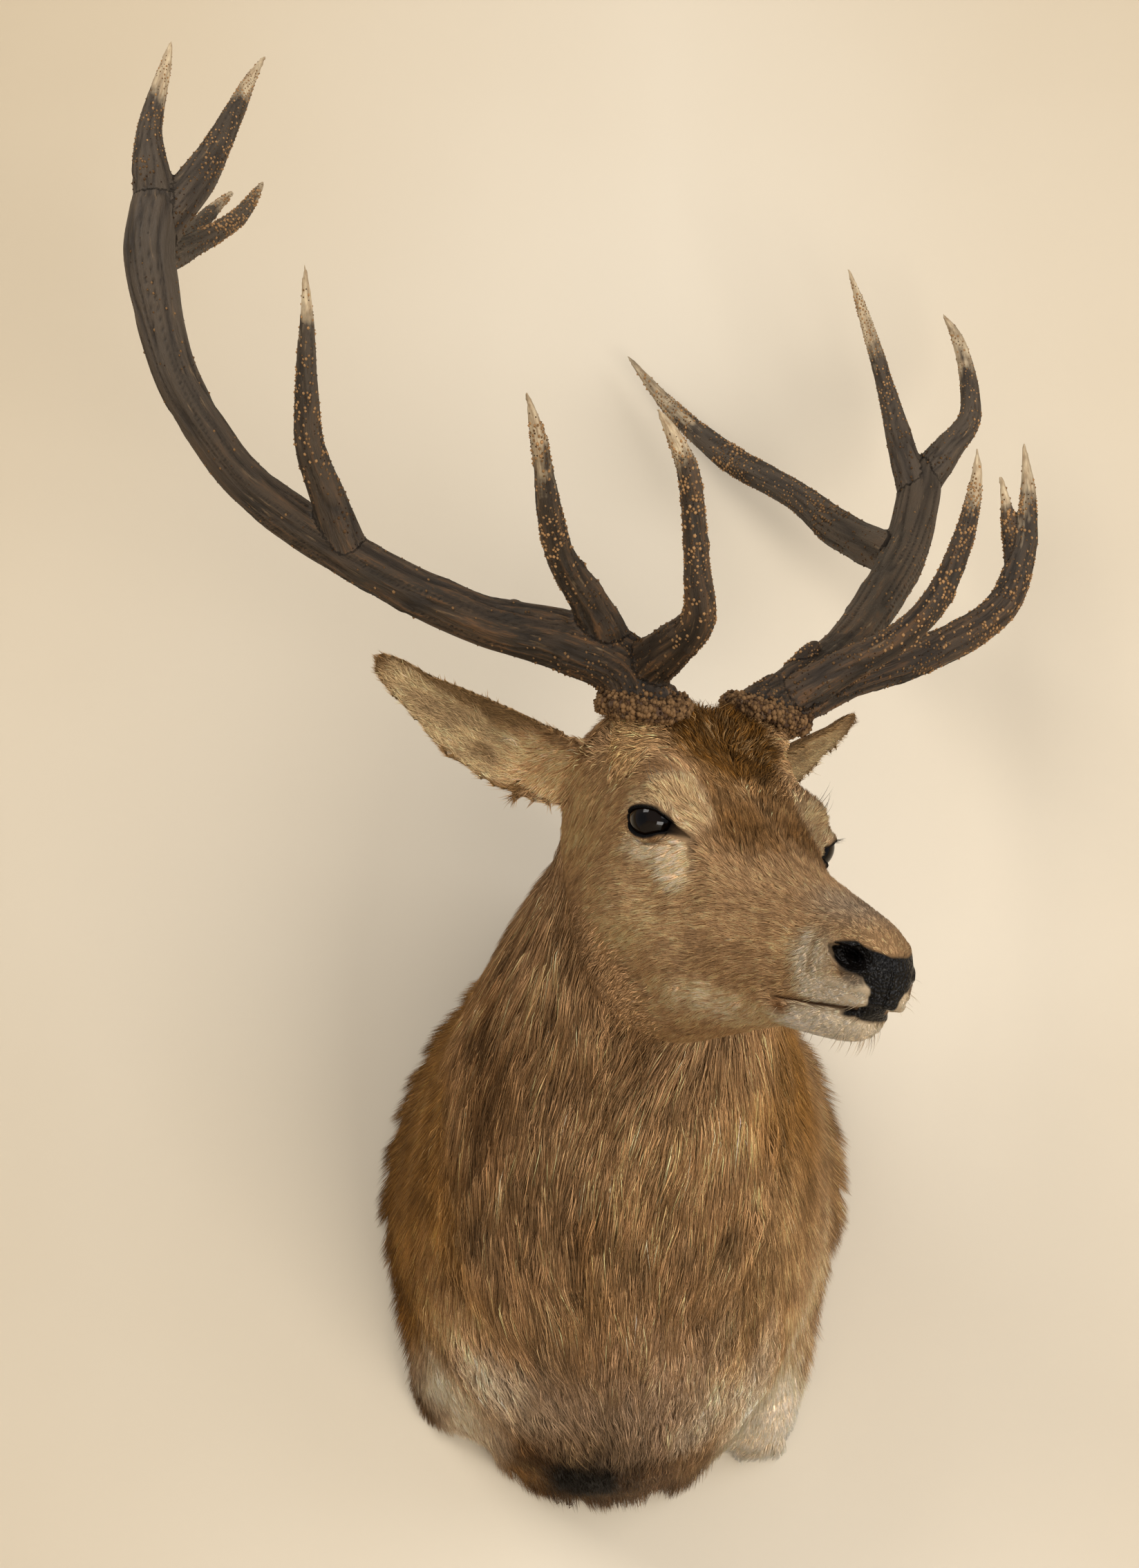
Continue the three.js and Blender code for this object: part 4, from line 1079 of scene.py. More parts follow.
def spikes(points, out, width):
    """Closed three-sided hairs, thin towards the tip, as vertices and triangles."""
    count, rings = points.shape[:2]
    along = np.gradient(points, axis=1)
    across = unit(np.cross(out[:, None], along))
    lifted = unit(np.cross(along, across))
    t = np.linspace(0, 1, rings)
    taper = np.interp(t, [0, 0.25, 0.7, 1], [0.75, 1, 0.62, 0])
    half = width[:, None] / 2 * taper * MM
    left = points + across * half[..., None]
    right = points - across * half[..., None]
    crest = points + lifted * (half * 0.9)[..., None]
    body = np.stack([left, right, crest], axis=2)[:, :-1]
    v = np.concatenate([body.reshape(count, -1, 3), points[:, -1:]], axis=1)
    per = 3 * (rings - 1) + 1
    faces = []
    for k in range(rings - 2):
        for a, b in ((0, 1), (1, 2), (2, 0)):
            p, q = 3 * k + a, 3 * k + b
            faces += [(p, q, q + 3), (p, q + 3, p + 3)]
    last = 3 * (rings - 2)
    faces += [(last, last + 1, per - 1), (last + 1, last + 2, per - 1), (last + 2, last, per - 1)]
    f = (np.array(faces)[None] + (np.arange(count) * per)[:, None, None]).reshape(-1, 3)
    share = np.concatenate([np.repeat(t[:-1], 3), [1.0]])
    around = np.concatenate([np.tile([0.0, 1.0, 0.5], rings - 1), [0.5]])
    return v.reshape(-1, 3), f, share, around, per


def coat_piece(name, points, out, width, shaded_root_colour, tip_colour, place, mat):
    """One object of many hairs, coloured from a darker root, painted shade deep in the coat, to the tip, with
    the hide's own UV map.
    """
    points[..., 1] = np.minimum(points[..., 1], -0.0006)
    v, f, share, around, per = spikes(points, out, width)
    obj = new_object(name, v, f)
    count = len(points)
    t = np.tile(share, count)[:, None]
    root, tip = (np.repeat(c, per, axis=0) for c in (shaded_root_colour, tip_colour))
    store(obj.data, "colour", mix(root, tip, ramp(0, 0.75, t)), "COLOR")
    patch = np.column_stack([np.tile(share - 0.5, count), np.tile(around - 0.5, count)]) * 0.003
    uv = np.clip(np.repeat(place, per, axis=0) + patch, 0, 1)
    layer = obj.data.uv_layers.new(name="OFBake")
    layer.data.foreach_set("uv", uv[corners_of(obj.data)].astype(np.float32).ravel())
    finish_piece(obj, mat)


def hair_groups(hide):
    """Where each kind of hair grows, as soft masks."""
    r = hide.r
    u, w, out, inside = eye_plane(hide.h)
    m = mirrored(hide.h)
    haired = (1 - hide.bare) * (1 - (inside > -2.6) * (out > -6) * (np.hypot(u, w) < 44))
    lips = bell(m[:, 2] - lip_height(m[:, 0]), 1.6) * (m[:, 0] > -104)
    haired = haired * (1 - np.clip(1.3 * lips, 0, 1)) * (hide.v[:, 1] < -0.0004)
    head, body = r["head"], 1 - on_head(hide.h)
    jaw = np.clip(1.8 * r["jaw_back"], 0, 1) * head
    crown = np.clip(2.2 * r["forehead"] + 2 * r["poll"] + 1.6 * r["tuft"], 0, 1) * head
    lobes = np.clip(1.1 * np.maximum(r["lobe_left"], r["lobe_right"]), 0, 1) * body
    long = np.clip(r["mane"] + 1.3 * r["middle"] ** 2 + r["brisket"] + r["armpit"], 0, 1) * body * (1 - lobes)
    return {
        "face": np.clip(head - crown - jaw, 0, 1) * haired, "crown": crown * (1 - jaw) * haired,
        "jaw": jaw * haired, "ears": r["ears"] * haired, "lobes": lobes * haired,
        "long": long * haired, "side": (body - lobes - long).clip(0, 1) * haired,
    }


def grow(hide, name, density, seed, mat, joints, width, wave=0, turns=1, stray=0.12, swirl=0.16, lift=1,
         clump=None, pale=0.15, root_shade=1, bright=2.35, contrast=0.5, run=0.3, locks=0.7):
    """One piece of coat. Density is to the square centimetre, width in millimetres. Each hair is darker at
    its root than at its tip: painted shade deep in the coat.
    """
    roots = hide.roots(density, seed)
    rng = roots["rng"]
    count = len(roots["at"])
    length = hide.value(roots, hide.length) * rng.uniform(0.72, 1.2, count)
    height = hide.value(roots, hide.depth * lift) * rng.uniform(0.5, 1.2, count)
    places = hide.value(roots, hide.v)
    lock = 5 * noise(places, 0.02, seed=seed + 1) + 3 * noise(places, 0.007, seed=seed + 2)
    sway = swirl * noise(places, 0.03, seed=seed + 3) + 0.6 * swirl * noise(places, 0.01, seed=seed + 4)
    points = hide.strands(roots, length, height, joints, stray, wave, turns, lock, sway)
    owner = np.arange(count) // 3
    if clump:
        points, owner = gathered(points, clump["spacing"], clump, rng)
    out = unit(hide.value(roots, hide.n))
    roll = rng.normal(0, 0.4, count)
    way = unit(points[:, 1] - points[:, 0])
    out = out * np.cos(roll)[:, None] + np.cross(way, out) * np.sin(roll)[:, None]

    # No hair lies over an eye, the bare nose or the line of the lips.
    tips = to_head(points[:, -1])
    u, w, o, inside = eye_plane(tips)
    free = ~((inside > -1.5) & (o > 0) & (np.hypot(u, w) < 44))
    free &= (bare_skin(tips) < 0.5) | (tips[:, 2] < -36)
    colour = hide.value(roots, hide.colour)
    own = np.column_stack([owner, owner * 0 + 3, owner * 0])
    drawn = hide.value(roots, hide.lie) * (1, 1, run)
    band = noise(drawn, 0.006, seed=seed % 7) + 0.6 * noise(drawn, 0.0028, seed=9 + seed % 7)
    contrast = hide.value(roots, contrast * np.ones(len(hide.v)))
    tone = np.exp(contrast * (0.9 * (hash01(own, seed) - 0.5) + 0.5 * rng.normal(0, 1, count) + locks * band))
    # Roots darker than tips: painted shade deep in the coat.
    shaded_root_colour = colour * (root_shade * tone)[:, None]
    pale = pale * rng.random(count) ** 2 * ramp(0.004, 0.05, colour.mean(axis=1))
    pale = np.clip(pale * (0.4 + 1.8 * ramp(0.1, 0.6, noise(drawn, 0.010, seed=31))), 0, 1)
    tip_colour = mix(colour * 0.9, PALETTE["mane_pale"], pale[:, None])
    grey = tip_colour.mean(axis=1, keepdims=True)
    tip_colour = mix(tip_colour, grey, 0.12 * ramp(0.03, 0.16, grey))
    tip_colour = np.minimum(tip_colour * (bright * tone)[:, None], 0.85)
    widths = width * rng.uniform(0.7, 1.25, count)
    place = hide.unwrap[roots["at"]]
    for_each_hair = (points, out, widths, shaded_root_colour, tip_colour, place)
    coat_piece(name, *(values[free] for values in for_each_hair), mat)


def make_coat(settings):
    hide = Hide(WORK["v"], WORK["f"])
    mat = coat_material()
    where, x = hair_groups(hide), hide.v[:, 0]
    near = hide.h[:, 1] < 0
    scruff = blob(mirrored(hide.h), (-190, 20, 80), (90, 50, 50))
    lick = dict(
        joints=1, width=0.85, clump=dict(spacing=7, share=0.07, hold=0.5), stray=0.16, swirl=0.3, pale=0.1,
    )
    for seed, side, here in ((101, "right", near), (102, "left", ~near)):
        grow(
            hide, f"fur_face_{side}", where["face"] * here * settings.face, seed, mat, **lick,
            lift=1 + 1.6 * scruff, contrast=0.5 + 0.4 * scruff,
        )
    grow(
        hide, "fur_crown", 0.9 * where["crown"] * settings.crown, 103, mat, joints=2, width=0.9,
        clump=dict(spacing=8, share=0.08, hold=0.6), wave=2, stray=0.3, swirl=0.7,
        lift=1.35 + 3.6 * hide.r["crest"], pale=0.4, contrast=0.6, locks=0.8,
    )
    grow(
        hide, "fur_jaw", where["jaw"] * settings.jaw, 105, mat, joints=2, width=0.8,
        clump=dict(spacing=8, share=0.12, hold=0.5), wave=1, stray=0.14, swirl=0.3, pale=0.1,
        contrast=0.34, bright=1.6,
    )
    grow(
        hide, "fur_ears", where["ears"] * settings.ears, 104, mat, joints=1, width=0.75, swirl=0.5,
        stray=0.3,
    )
    strip_edges = (-1, -0.08, -0.025, 0.03, 0.08, 1)
    for k, (low, high) in enumerate(zip(strip_edges, strip_edges[1:])):
        here = (x >= low) & (x < high)
        grow(
            hide, f"mane_{k + 1}", where["long"] * here * settings.mane, 110 + 7 * k, mat, joints=2,
            width=0.78, clump=dict(spacing=12, share=0.09, hold=0.6), wave=2.2, turns=0.9, stray=0.1,
            swirl=0.32, pale=0.3, contrast=0.45 + 0.3 * hide.r["mane"], root_shade=0.75, bright=2.05,
            run=0.14, locks=1.1,
        )
    for seed, side, here in ((130, "right", x < 0), (131, "left", x >= 0)):
        grow(
            hide, f"fur_side_{side}", where["side"] * here * settings.sides, seed, mat, joints=1, width=1,
            clump=dict(spacing=6, share=0.15, hold=0.25), stray=0.17, swirl=0.2, pale=0.2, contrast=0.7,
            bright=2.1, locks=0.9, lift=1 + 0.8 * hide.r["edge"],
        )
    grow(hide, "fur_lobes", where["lobes"] * settings.lobes, 120, mat, **lick)


# ---- antlers

# Centre lines as rows of x, y, z and radius in millimetres, from the foot or the beam outward.
RIGHT_ANTLER = {
    "beam": (
        (11, -524, 332, 26), (-4, -530, 363, 27), (-46, -538, 382, 25), (-115, -546, 399, 20.5),
        (-199, -553, 436, 18.5), (-254, -560, 470, 19), (-300, -567, 504, 17.5), (-334, -576, 546, 17.5),
        (-359, -581, 593, 18), (-375, -581, 655, 20), (-380, -580, 692, 21.5), (-377, -576, 729, 20),
    ),
    "brow": (
        (8, -528, 362, 22), (32, -570, 372, 18), (52, -610, 386, 14), (50, -640, 419, 10.5),
        (42, -680, 484, 8.7), (30, -695, 509, 5.6), (19, -702, 526, 1.6),
    ),
    "bez": (
        (-13, -532, 378, 20), (-32, -570, 408, 15), (-53, -610, 433, 12), (-63, -650, 463, 9.5),
        (-70, -692, 504, 6.6), (-79, -712, 535, 1.6),
    ),
    "trez": (
        (-222, -556, 450, 18), (-236, -585, 488, 14), (-248, -618, 522, 12), (-249, -645, 556, 9.8),
        (-247, -680, 612, 4.6), (-248, -692, 641, 1.6),
    ),
    "crown_outer": (
        (-376, -575, 728, 20), (-382, -578, 767, 13.5), (-382, -581, 793, 10.5), (-370, -588, 841, 5),
        (-365, -592, 860, 1.8),
    ),
    "crown_inner": (
        (-374, -574, 712, 19), (-344, -562, 760, 15), (-330, -548, 793, 11.6), (-308, -520, 858, 4.8),
        (-298, -508, 882, 1.8),
    ),
    "crown_back": (
        (-375, -570, 685, 14), (-354, -520, 715, 10), (-325, -440, 767, 8), (-310, -375, 821, 2.2),
    ),
    "crown_back_fork": ((-357, -520, 716, 9), (-352, -450, 762, 7.4), (-340, -345, 823, 2.4)),
}
LEFT_ANTLER = {
    "beam": (
        (112, -451, 338, 25), (135, -437, 366, 19), (157, -410, 387, 18), (188, -360, 419, 19.2),
        (211, -305, 458, 20.2), (250, -210, 533, 20.8), (270, -160, 599, 20), (273, -150, 621, 20),
    ),
    "brow": (
        (126, -446, 352, 20), (168, -450, 376, 15.5), (222, -463, 404, 12.3), (249, -475, 430, 11.6),
        (272, -487, 482, 9), (283, -490, 529, 4.9), (284, -490, 553, 1.6),
    ),
    "bez": (
        (134, -442, 352, 20), (183, -430, 373, 14), (250, -416, 400, 15), (312, -400, 443, 14.7),
        (334, -392, 500, 10.5), (338, -391, 545, 6.6), (335, -395, 584, 1.6),
    ),
    "bez_fork": ((327, -394, 470, 11), (323, -390, 509, 7.7), (315, -395, 556, 1.8)),
    "crown_outer": (
        (272, -152, 612, 19), (296, -146, 646, 14.3), (319, -142, 676, 11), (321, -141, 704, 8.7),
        (311, -144, 752, 6), (297, -148, 777, 1.6),
    ),
    "crown_inner": (
        (268, -158, 607, 18), (257, -156, 644, 13), (240, -162, 710, 8.3), (222, -170, 769, 5.4),
        (208, -176, 811, 1.6),
    ),
    "back": (
        (243, -205, 532, 20), (196, -130, 580, 17.5), (165, -105, 614, 14), (102, -68, 663, 13),
        (50, -40, 718, 8.4), (9, -28, 773, 1.8),
    ),
    "stub": ((130, -434, 370, 12), (146, -427, 392, 9), (156, -422, 406, 5)),
}
ANTLERS = {"right": RIGHT_ANTLER, "left": LEFT_ANTLER}
PEDICLE_ROOT = (-300, 46, 60)  # head frame, the left one
BURR_SEEDS = {"left": 7, "right": 19}
BAR_GAP = 400  # between the grain of one bar and the next, in millimetres
# How pale a tine's end is, and how much of its length that takes in.
TIPS = {
    "right": {
        "brow": (1, 0.26), "bez": (0.9, 0.26), "trez": (1, 0.24), "crown_outer": (1, 0.36),
        "crown_inner": (1, 0.3), "crown_back": (0.8, 0.22), "crown_back_fork": (0.9, 0.5),
    },
    "left": {
        "brow": (1, 0.24), "bez": (0.9, 0.2), "bez_fork": (1, 0.36), "crown_outer": (0.9, 0.34),
        "crown_inner": (1, 0.42), "back": (0.75, 0.28), "stub": (0.1, 0.3),
    },
}


def smooth_path(rows, step):
    """Even points along a curve through rows of x, y, z, radius, in millimetres."""
    p = np.asarray(rows, float)
    p = np.vstack([2 * p[0] - p[1], p, 2 * p[-1] - p[-2]])
    out = []
    for i in range(1, len(p) - 2):
        a, b, c, d = p[i - 1:i + 3]
        t1, t2, t3 = (np.linalg.norm(gap[:3]) ** 0.5 for gap in (b - a, c - b, d - c))
        m1 = t2 * ((b - a) / t1 - (c - a) / (t1 + t2) + (c - b) / t2)
        m2 = t2 * ((c - b) / t2 - (d - b) / (t2 + t3) + (d - c) / t3)
        count = max(2, int(np.linalg.norm((c - b)[:3]) / step))
        s = np.linspace(0, 1, count, endpoint=False)[:, None]
        point = (2 * s**3 - 3 * s**2 + 1) * b + (s**3 - 2 * s**2 + s) * m1
        point += (3 * s**2 - 2 * s**3) * c + (s**3 - s**2) * m2
        point[:, 3] = np.interp(s[:, 0], [0, 1], [b[3], c[3]])
        out.append(point)
    return np.vstack(out + [p[-2]])


def frames_along(points):
    """Tangents, and two directions across that turn as little as they can."""
    tangent = unit(np.gradient(points, axis=0))
    across = np.empty_like(tangent)
    first = np.cross(tangent[0], [0.3, 0.5, 0.8])
    across[0] = unit(first)
    for i in range(1, len(points)):
        a = across[i - 1] - tangent[i] * np.dot(across[i - 1], tangent[i])
        across[i] = unit(a)
    return tangent, across, np.cross(tangent, across)


def tube_arrays(path, around=20):
    """A closed tapered bar round a path of x, y, z, radius."""
    tangent, across, up = frames_along(path[:, :3])
    turn = np.linspace(0, 2 * math.pi, around, endpoint=False)
    ring = across[:, None] * np.cos(turn)[:, None] + up[:, None] * np.sin(turn)[:, None]
    v = (path[:, None, :3] + ring * path[:, None, 3:]).reshape(-1, 3)
    first = path[0, :3] - tangent[0] * path[0, 3] * 0.3
    last = path[-1, :3] + tangent[-1] * path[-1, 3]
    return np.vstack([v, first, last]), faces_of_rows(len(path), around)


def burr_arrays(centre, axis, across, up, seed):
    """The rough ring of knobs round an antler's foot."""
    parts = []
    for row, (height, reach, count) in enumerate(((-3.4, 31, 36), (1.6, 33, 40), (6, 29.5, 32))):
        for k, angle in enumerate(np.linspace(0, 2 * math.pi, count, endpoint=False) + 0.09 * row):
            chance = hash01(np.array([[k, row, 1], [k, row, 2], [k, row, 3]]), seed)
            out = across * math.cos(angle) + up * math.sin(angle)
            tilt = 2.2 * math.sin(2 * angle + seed)
            place = centre + out * (reach + 2.4 * chance[0]) + axis * (height + tilt + 1.6 * chance[1])
            size = 2.5 + 1.9 * chance[2]
            v, f = ball_arrays((0, 0, 0), 1, 10, 6)
            v = v @ np.array([out * (size + 1.6), np.cross(axis, out) * size, axis * size])
            parts.append((v + place, f))
    ring = np.array([centre + axis * s for s in np.linspace(-5, 7, 7)])
    parts.append(tube_arrays(np.column_stack([ring, [26, 29.5, 31, 31.5, 30.5, 29, 26]]), 40))
    return joined(parts)


def antler_frame(side):
    """Every centre line of an antler, the way it stands, and its foot."""
    paths = {name: smooth_path(rows, 3) for name, rows in ANTLERS[side].items()}
    root = from_head(np.array(PEDICLE_ROOT) * (1, SIDES[side], 1)) / MM
    foot = np.array(ANTLERS[side]["beam"][0][:3], float)
    return paths, unit(foot - root), foot


def grown_horn(paths, axis, foot, voxel, seed):
    """Bars, pedicle and burr grown together into one skin."""
    across = unit(np.cross(axis, [0.2, 0.9, 0.3]))
    pedicle = np.column_stack([[foot - axis * 8, foot + axis * 16], [26, 26.5]])
    parts = [tube_arrays(path) for path in (*paths.values(), pedicle)]
    parts.append(burr_arrays(foot, axis, across, np.cross(axis, across), seed))
    v, f = joined(parts)
    v, f = remeshed(v * MM, f, voxel)
    return relax(v, edges_of(f), 12), f


# Columns of the rows that bar_rows makes.
PLACE, TANGENT, ACROSS, UP = slice(0, 3), slice(4, 7), slice(7, 10), slice(10, 13)
RADIUS, RUN, SHARE = 3, 13, 14


def bar_rows(paths):
    """A row for each point of each centre line, and the number of its bar."""
    rows, owner = [], []
    for k, path in enumerate(paths.values()):
        step = sizes(np.diff(path[:, PLACE], axis=0))
        run = np.concatenate([[0], np.cumsum(step)])
        rows.append(np.column_stack([path, *frames_along(path[:, PLACE]), run, run / run[-1]]))
        owner += [k] * len(path)
    return np.vstack(rows), np.array(owner)


def nearest_rows(points, rows, owner):
    """The row nearest each point, measured in radii of its bar."""
    best = np.full(len(points), 1e9)
    pick = np.zeros(len(points), int)
    for k in range(owner[-1] + 1):
        own = np.nonzero(owner == k)[0]
        near = own[nearest_index(tree_of(rows[own, PLACE]), points)]
        off = sizes(points - rows[near, PLACE]) / np.maximum(rows[near, RADIUS], 3)
        closer = off < best
        best[closer], pick[closer] = off[closer], near[closer]
    return pick


def pale_tips(side, names, bar, share, grain):
    """1 where a tine's end is worn to ivory, with a ragged edge."""
    ragged = 0.10 * noise(grain * (1, 1, 0.25), 9, seed=41) + 0.05 * noise(grain, 5, seed=42)
    tip = np.zeros(len(share))
    for k, name in enumerate(names):
        if name in TIPS[side]:
            pale, reach = TIPS[side][name]
            start = 1 - reach
            worn = pale * ramp(start - 0.05, start + 0.16, share + ragged)
            tip = np.where(bar == k, worn, tip)
    return tip


def build_antler(side, settings):
    """One antler: bars grown together, then gutters, the seats of its pearls and a worn surface."""
    paths, axis, foot = antler_frame(side)
    v, f = grown_horn(paths, axis, foot, settings.voxel, BURR_SEEDS[side])
    points = v / MM
    rows, owner = bar_rows(paths)
    pick = nearest_rows(points, rows, owner)
    row, bar = rows[pick], owner[pick]
    share, d = row[:, SHARE], points - row[:, PLACE]
    grain = np.hstack([dot(d, row[:, way]) for way in (ACROSS, UP, TANGENT)])
    grain[:, 2] = row[:, RUN] + grain[:, 2] + BAR_GAP * bar
    tip = pale_tips(side, paths, bar, share, grain)
    from_foot = sizes(points - foot)
    ring = ramp(44, 38, from_foot) * (np.abs((points - foot) @ axis) < 14)
    wrought = 1 - ramp(0.05, 0.8, tip)
    stretched = grain * (1, 1, 0.06)
    groove = noise(stretched, 7.5, seed=51) + 0.5 * noise(stretched, 3.6, seed=52)
    valley = np.clip(1 - np.abs(noise(stretched, 4.8, seed=56)) / 0.34, 0, 1) ** 1.3
    lumps = noise(grain, 26, seed=53)
    cell = noise(grain * (1, 1, 0.7), 8.5, seed=54)
    size = np.clip(row[:, RADIUS] / 16, 0.25, 1.2) * (1 - ring)
    push = (-settings.groove * valley - 1.6 * np.clip(groove - 0.12, 0, 1)) * size * wrought
    push += 1 * lumps * size * wrought
    push += 1.3 * ramp(0.35, 0.8, cell) * (ramp(430, 120, from_foot) * wrought)
    v = v + normals_of(v, f) * (push * MM)[:, None]
    obj = new_object(f"antler_{side}_horn", v, f)

    away = v / MM - foot
    from_axis = sizes(away - np.outer(away @ axis, axis))
    on_tine = bar != list(paths).index("beam")
    rising = ramp(0.12, 0.45, share)
    amount = np.where(on_tine, 0.25 + 0.75 * rising, 0.10) * ramp(0.98, 0.85, share)
    amount = amount + 0.5 * ramp(95, 50, from_foot)
    amount = amount * (0.35 + 0.65 * ramp(-0.2, 0.4, noise(grain, 22, seed=61))) * (1 - ring)
    # Gutters and the gaps between the burr's knobs, which the material darkens as painted shade.
    hollow = np.maximum(valley * wrought * (1 - ring), ramp(32, 30, from_axis) * ring)
    pale = np.where(on_tine, 0.25 + 0.75 * rising, 0.55) * (1 - 0.1 * ring)
    for name, values in {
        "tip": tip,  # ivory ends
        "hollow": np.clip(hollow, 0, 1),  # gutters and the gaps between the burr's knobs
        "knob": ramp(33.2, 35.6, from_axis) * ring,
        "pearl": np.clip(np.maximum(amount, ring), 0, 1),  # how many pearls grow
        "pale": np.clip(pale, 0, 1),  # how pale they are
        "bead": 1 + 1.2 * ring + 0.35 * noise(grain, 30, seed=62),  # how big they are
    }.items():
        store(obj.data, name, values)
    store(obj.data, "grain", grain * MM, "VECTOR")
    return obj


# ---- materials

class Nodes:
    """A node tree, with short calls for what it is made of."""

    def __init__(self, tree):
        self.tree = tree

    def plug(self, made, inputs):
        """Sets a node's inputs to values or to other nodes' sockets."""
        for key, value in inputs.items():
            if isinstance(value, bpy.types.NodeSocket):
                self.tree.links.new(value, made.inputs[key])
            else:
                made.inputs[key].default_value = value

    def add(self, kind, inputs=None, **settings):
        made = self.tree.nodes.new(kind)
        for key, value in settings.items():
            setattr(made, key, value)
        self.plug(made, inputs or {})
        return made

    def maths(self, operation, a, b=0, c=0):
        return self.add("ShaderNodeMath", {0: a, 1: b, 2: c}, operation=operation).outputs[0]

    def times(self, a, b):
        return self.maths("MULTIPLY", a, b)

    def line(self, value, slope, start):
        """The start plus the slope times the value."""
        return self.maths("MULTIPLY_ADD", value, slope, start)

    def without(self, value, start=1):
        return self.maths("SUBTRACT", start, value)

    def mixed(self, factor, a, b, blend="MIX"):
        made = self.add("ShaderNodeMix", {0: factor, 6: a, 7: b}, data_type="RGBA", blend_type=blend)
        return made.outputs[2]

    def attribute(self, name, output="Fac"):
        return self.add("ShaderNodeAttribute", attribute_name=name).outputs[output]

    def place(self):
        return self.add("ShaderNodeTexCoord").outputs["Object"]

    def noise(self, vector, scale, detail, roughness=0.5):
        inputs = {"Vector": vector, "Scale": scale, "Detail": detail, "Roughness": roughness}
        return self.add("ShaderNodeTexNoise", inputs).outputs["Fac"]

    def stretched(self, vector, scale):
        return self.add("ShaderNodeMapping", {"Vector": vector, "Scale": scale}).outputs[0]

    def levels(self, value, low, high, top=1):
        """0 up to the low value, rising to `top` at the high one."""
        inputs = {"Value": value, "From Min": low, "From Max": high, "To Max": top}
        return self.add("ShaderNodeMapRange", inputs).outputs[0]

    def ramp(self, value, *stops):
        made = self.add("ShaderNodeValToRGB", {"Fac": value})
        for element, (position, colour) in zip(made.color_ramp.elements, stops):
            element.position, element.color = position, rgba(colour)
        return made.outputs["Color"]

    def bump(self, height, distance):
        return self.add("ShaderNodeBump", {"Height": height, "Distance": distance}).outputs["Normal"]

    def mottle(self, vector, scale, low=0, high=1, stretch=(1, 1, 1), detail=3):
        made = self.add("ShaderNodeGroup", {}, node_tree=mottle_group())
        self.plug(made, {
            "Vector": vector, "Stretch": stretch, "Scale": scale, "Detail": detail, "Low": low, "High": high,
        })
        return made.outputs["Value"]


def rgba(hex_colour):
    return (*linear(hex_colour), 1)


def material(name):
    """A new material with only a Principled shader and its output, and its nodes."""
    m = bpy.data.materials.new(name)
    m.use_nodes = True
    m.node_tree.nodes.clear()
    t = Nodes(m.node_tree)
    t.shader = t.add("ShaderNodeBsdfPrincipled")
    t.output = t.add("ShaderNodeOutputMaterial", {"Surface": t.shader.outputs["BSDF"]})
    return m, t


def new_group(name, kind, inputs, outputs):
    """A node group with named sockets: its nodes, inputs and output node."""
    tree = bpy.data.node_groups.new(name, kind)
    for label, socket_kind in inputs:
        tree.interface.new_socket(label, in_out="INPUT", socket_type=socket_kind)
    for label, socket_kind in outputs:
        tree.interface.new_socket(label, in_out="OUTPUT", socket_type=socket_kind)
    t = Nodes(tree)
    return t, t.add("NodeGroupInput").outputs, t.add("NodeGroupOutput")


def mottle_group():
    """Noise between two levels, stretched along one axis."""
    name, low, high = "mottle", 0.25, 0.75
    if name in bpy.data.node_groups:
        return bpy.data.node_groups[name]
    number_inputs = [(label, "NodeSocketFloat") for label in ("Scale", "Detail", "Low", "High")]
    t, start, end = new_group(
        name, "ShaderNodeTree",
        [("Vector", "NodeSocketVector"), ("Stretch", "NodeSocketVector"), *number_inputs],
        [("Value", "NodeSocketFloat")],
    )
    where = t.add("ShaderNodeVectorMath", {0: start["Vector"], 1: start["Stretch"]}, operation="MULTIPLY")
    grain = t.add("ShaderNodeTexNoise", {
        "Vector": where.outputs[0], "Scale": start["Scale"], "Detail": start["Detail"],
    })
    level = t.add("ShaderNodeMapRange", {
        "Value": grain.outputs["Fac"], "From Min": low, "From Max": high,
        "To Min": start["Low"], "To Max": start["High"],
    })
    t.plug(end, {"Value": level.outputs[0]})
    return t.tree


def hide_material():
    """Painted skin between the hairs, and the pebbled black skin of nose and lips."""
    m, t = material("hide_and_bare_skin")
    bare, colour = t.attribute("bare"), t.attribute("colour", "Color")
    pebbles = t.add("ShaderNodeTexVoronoi", {"Vector": t.place(), "Scale": 470}, feature="SMOOTH_F1")
    from_pebble = pebbles.outputs["Distance"]
    hairs = t.mottle(t.attribute("lie", "Vector"), 900, stretch=(1, 1, 0.06))
    haired = t.mixed(1, colour, t.line(hairs, 0.7, 0.5), "MULTIPLY")
    pebbled = t.mixed(t.times(from_pebble, 0.6), colour, rgba("15110c"))
    height = t.line(t.times(hairs, t.without(bare)), 0.45, t.times(t.without(from_pebble), bare))
    t.plug(t.shader, {
        "Base Color": t.mixed(bare, haired, pebbled),
        "Roughness": t.line(bare, -0.55, 0.88),
        "Normal": t.bump(height, 0.002),
        "Specular IOR Level": 0.12,
    })
    return m


def coat_material():
    m, t = material("coat_hair")
    fine = t.mottle(t.place(), 700, detail=2)
    t.plug(t.shader, {
        "Base Color": t.mixed(1, t.attribute("colour", "Color"), t.line(fine, 0.3, 0.85), "MULTIPLY"),
        "Roughness": t.line(fine, 0.15, 0.5),
        "Specular IOR Level": 0.1,
        "Specular Tint": (1.0, 0.8, 0.55, 1),
    })
    return m


def bristle_material():
    m, t = material("dark_bristle")
    t.plug(t.shader, {
        "Base Color": t.mixed(t.attribute("shade"), rgba("0c0805"), rgba("b59b78")),
        "Roughness": t.mottle(t.place(), 400, 0.35, 0.55),
    })
    return m


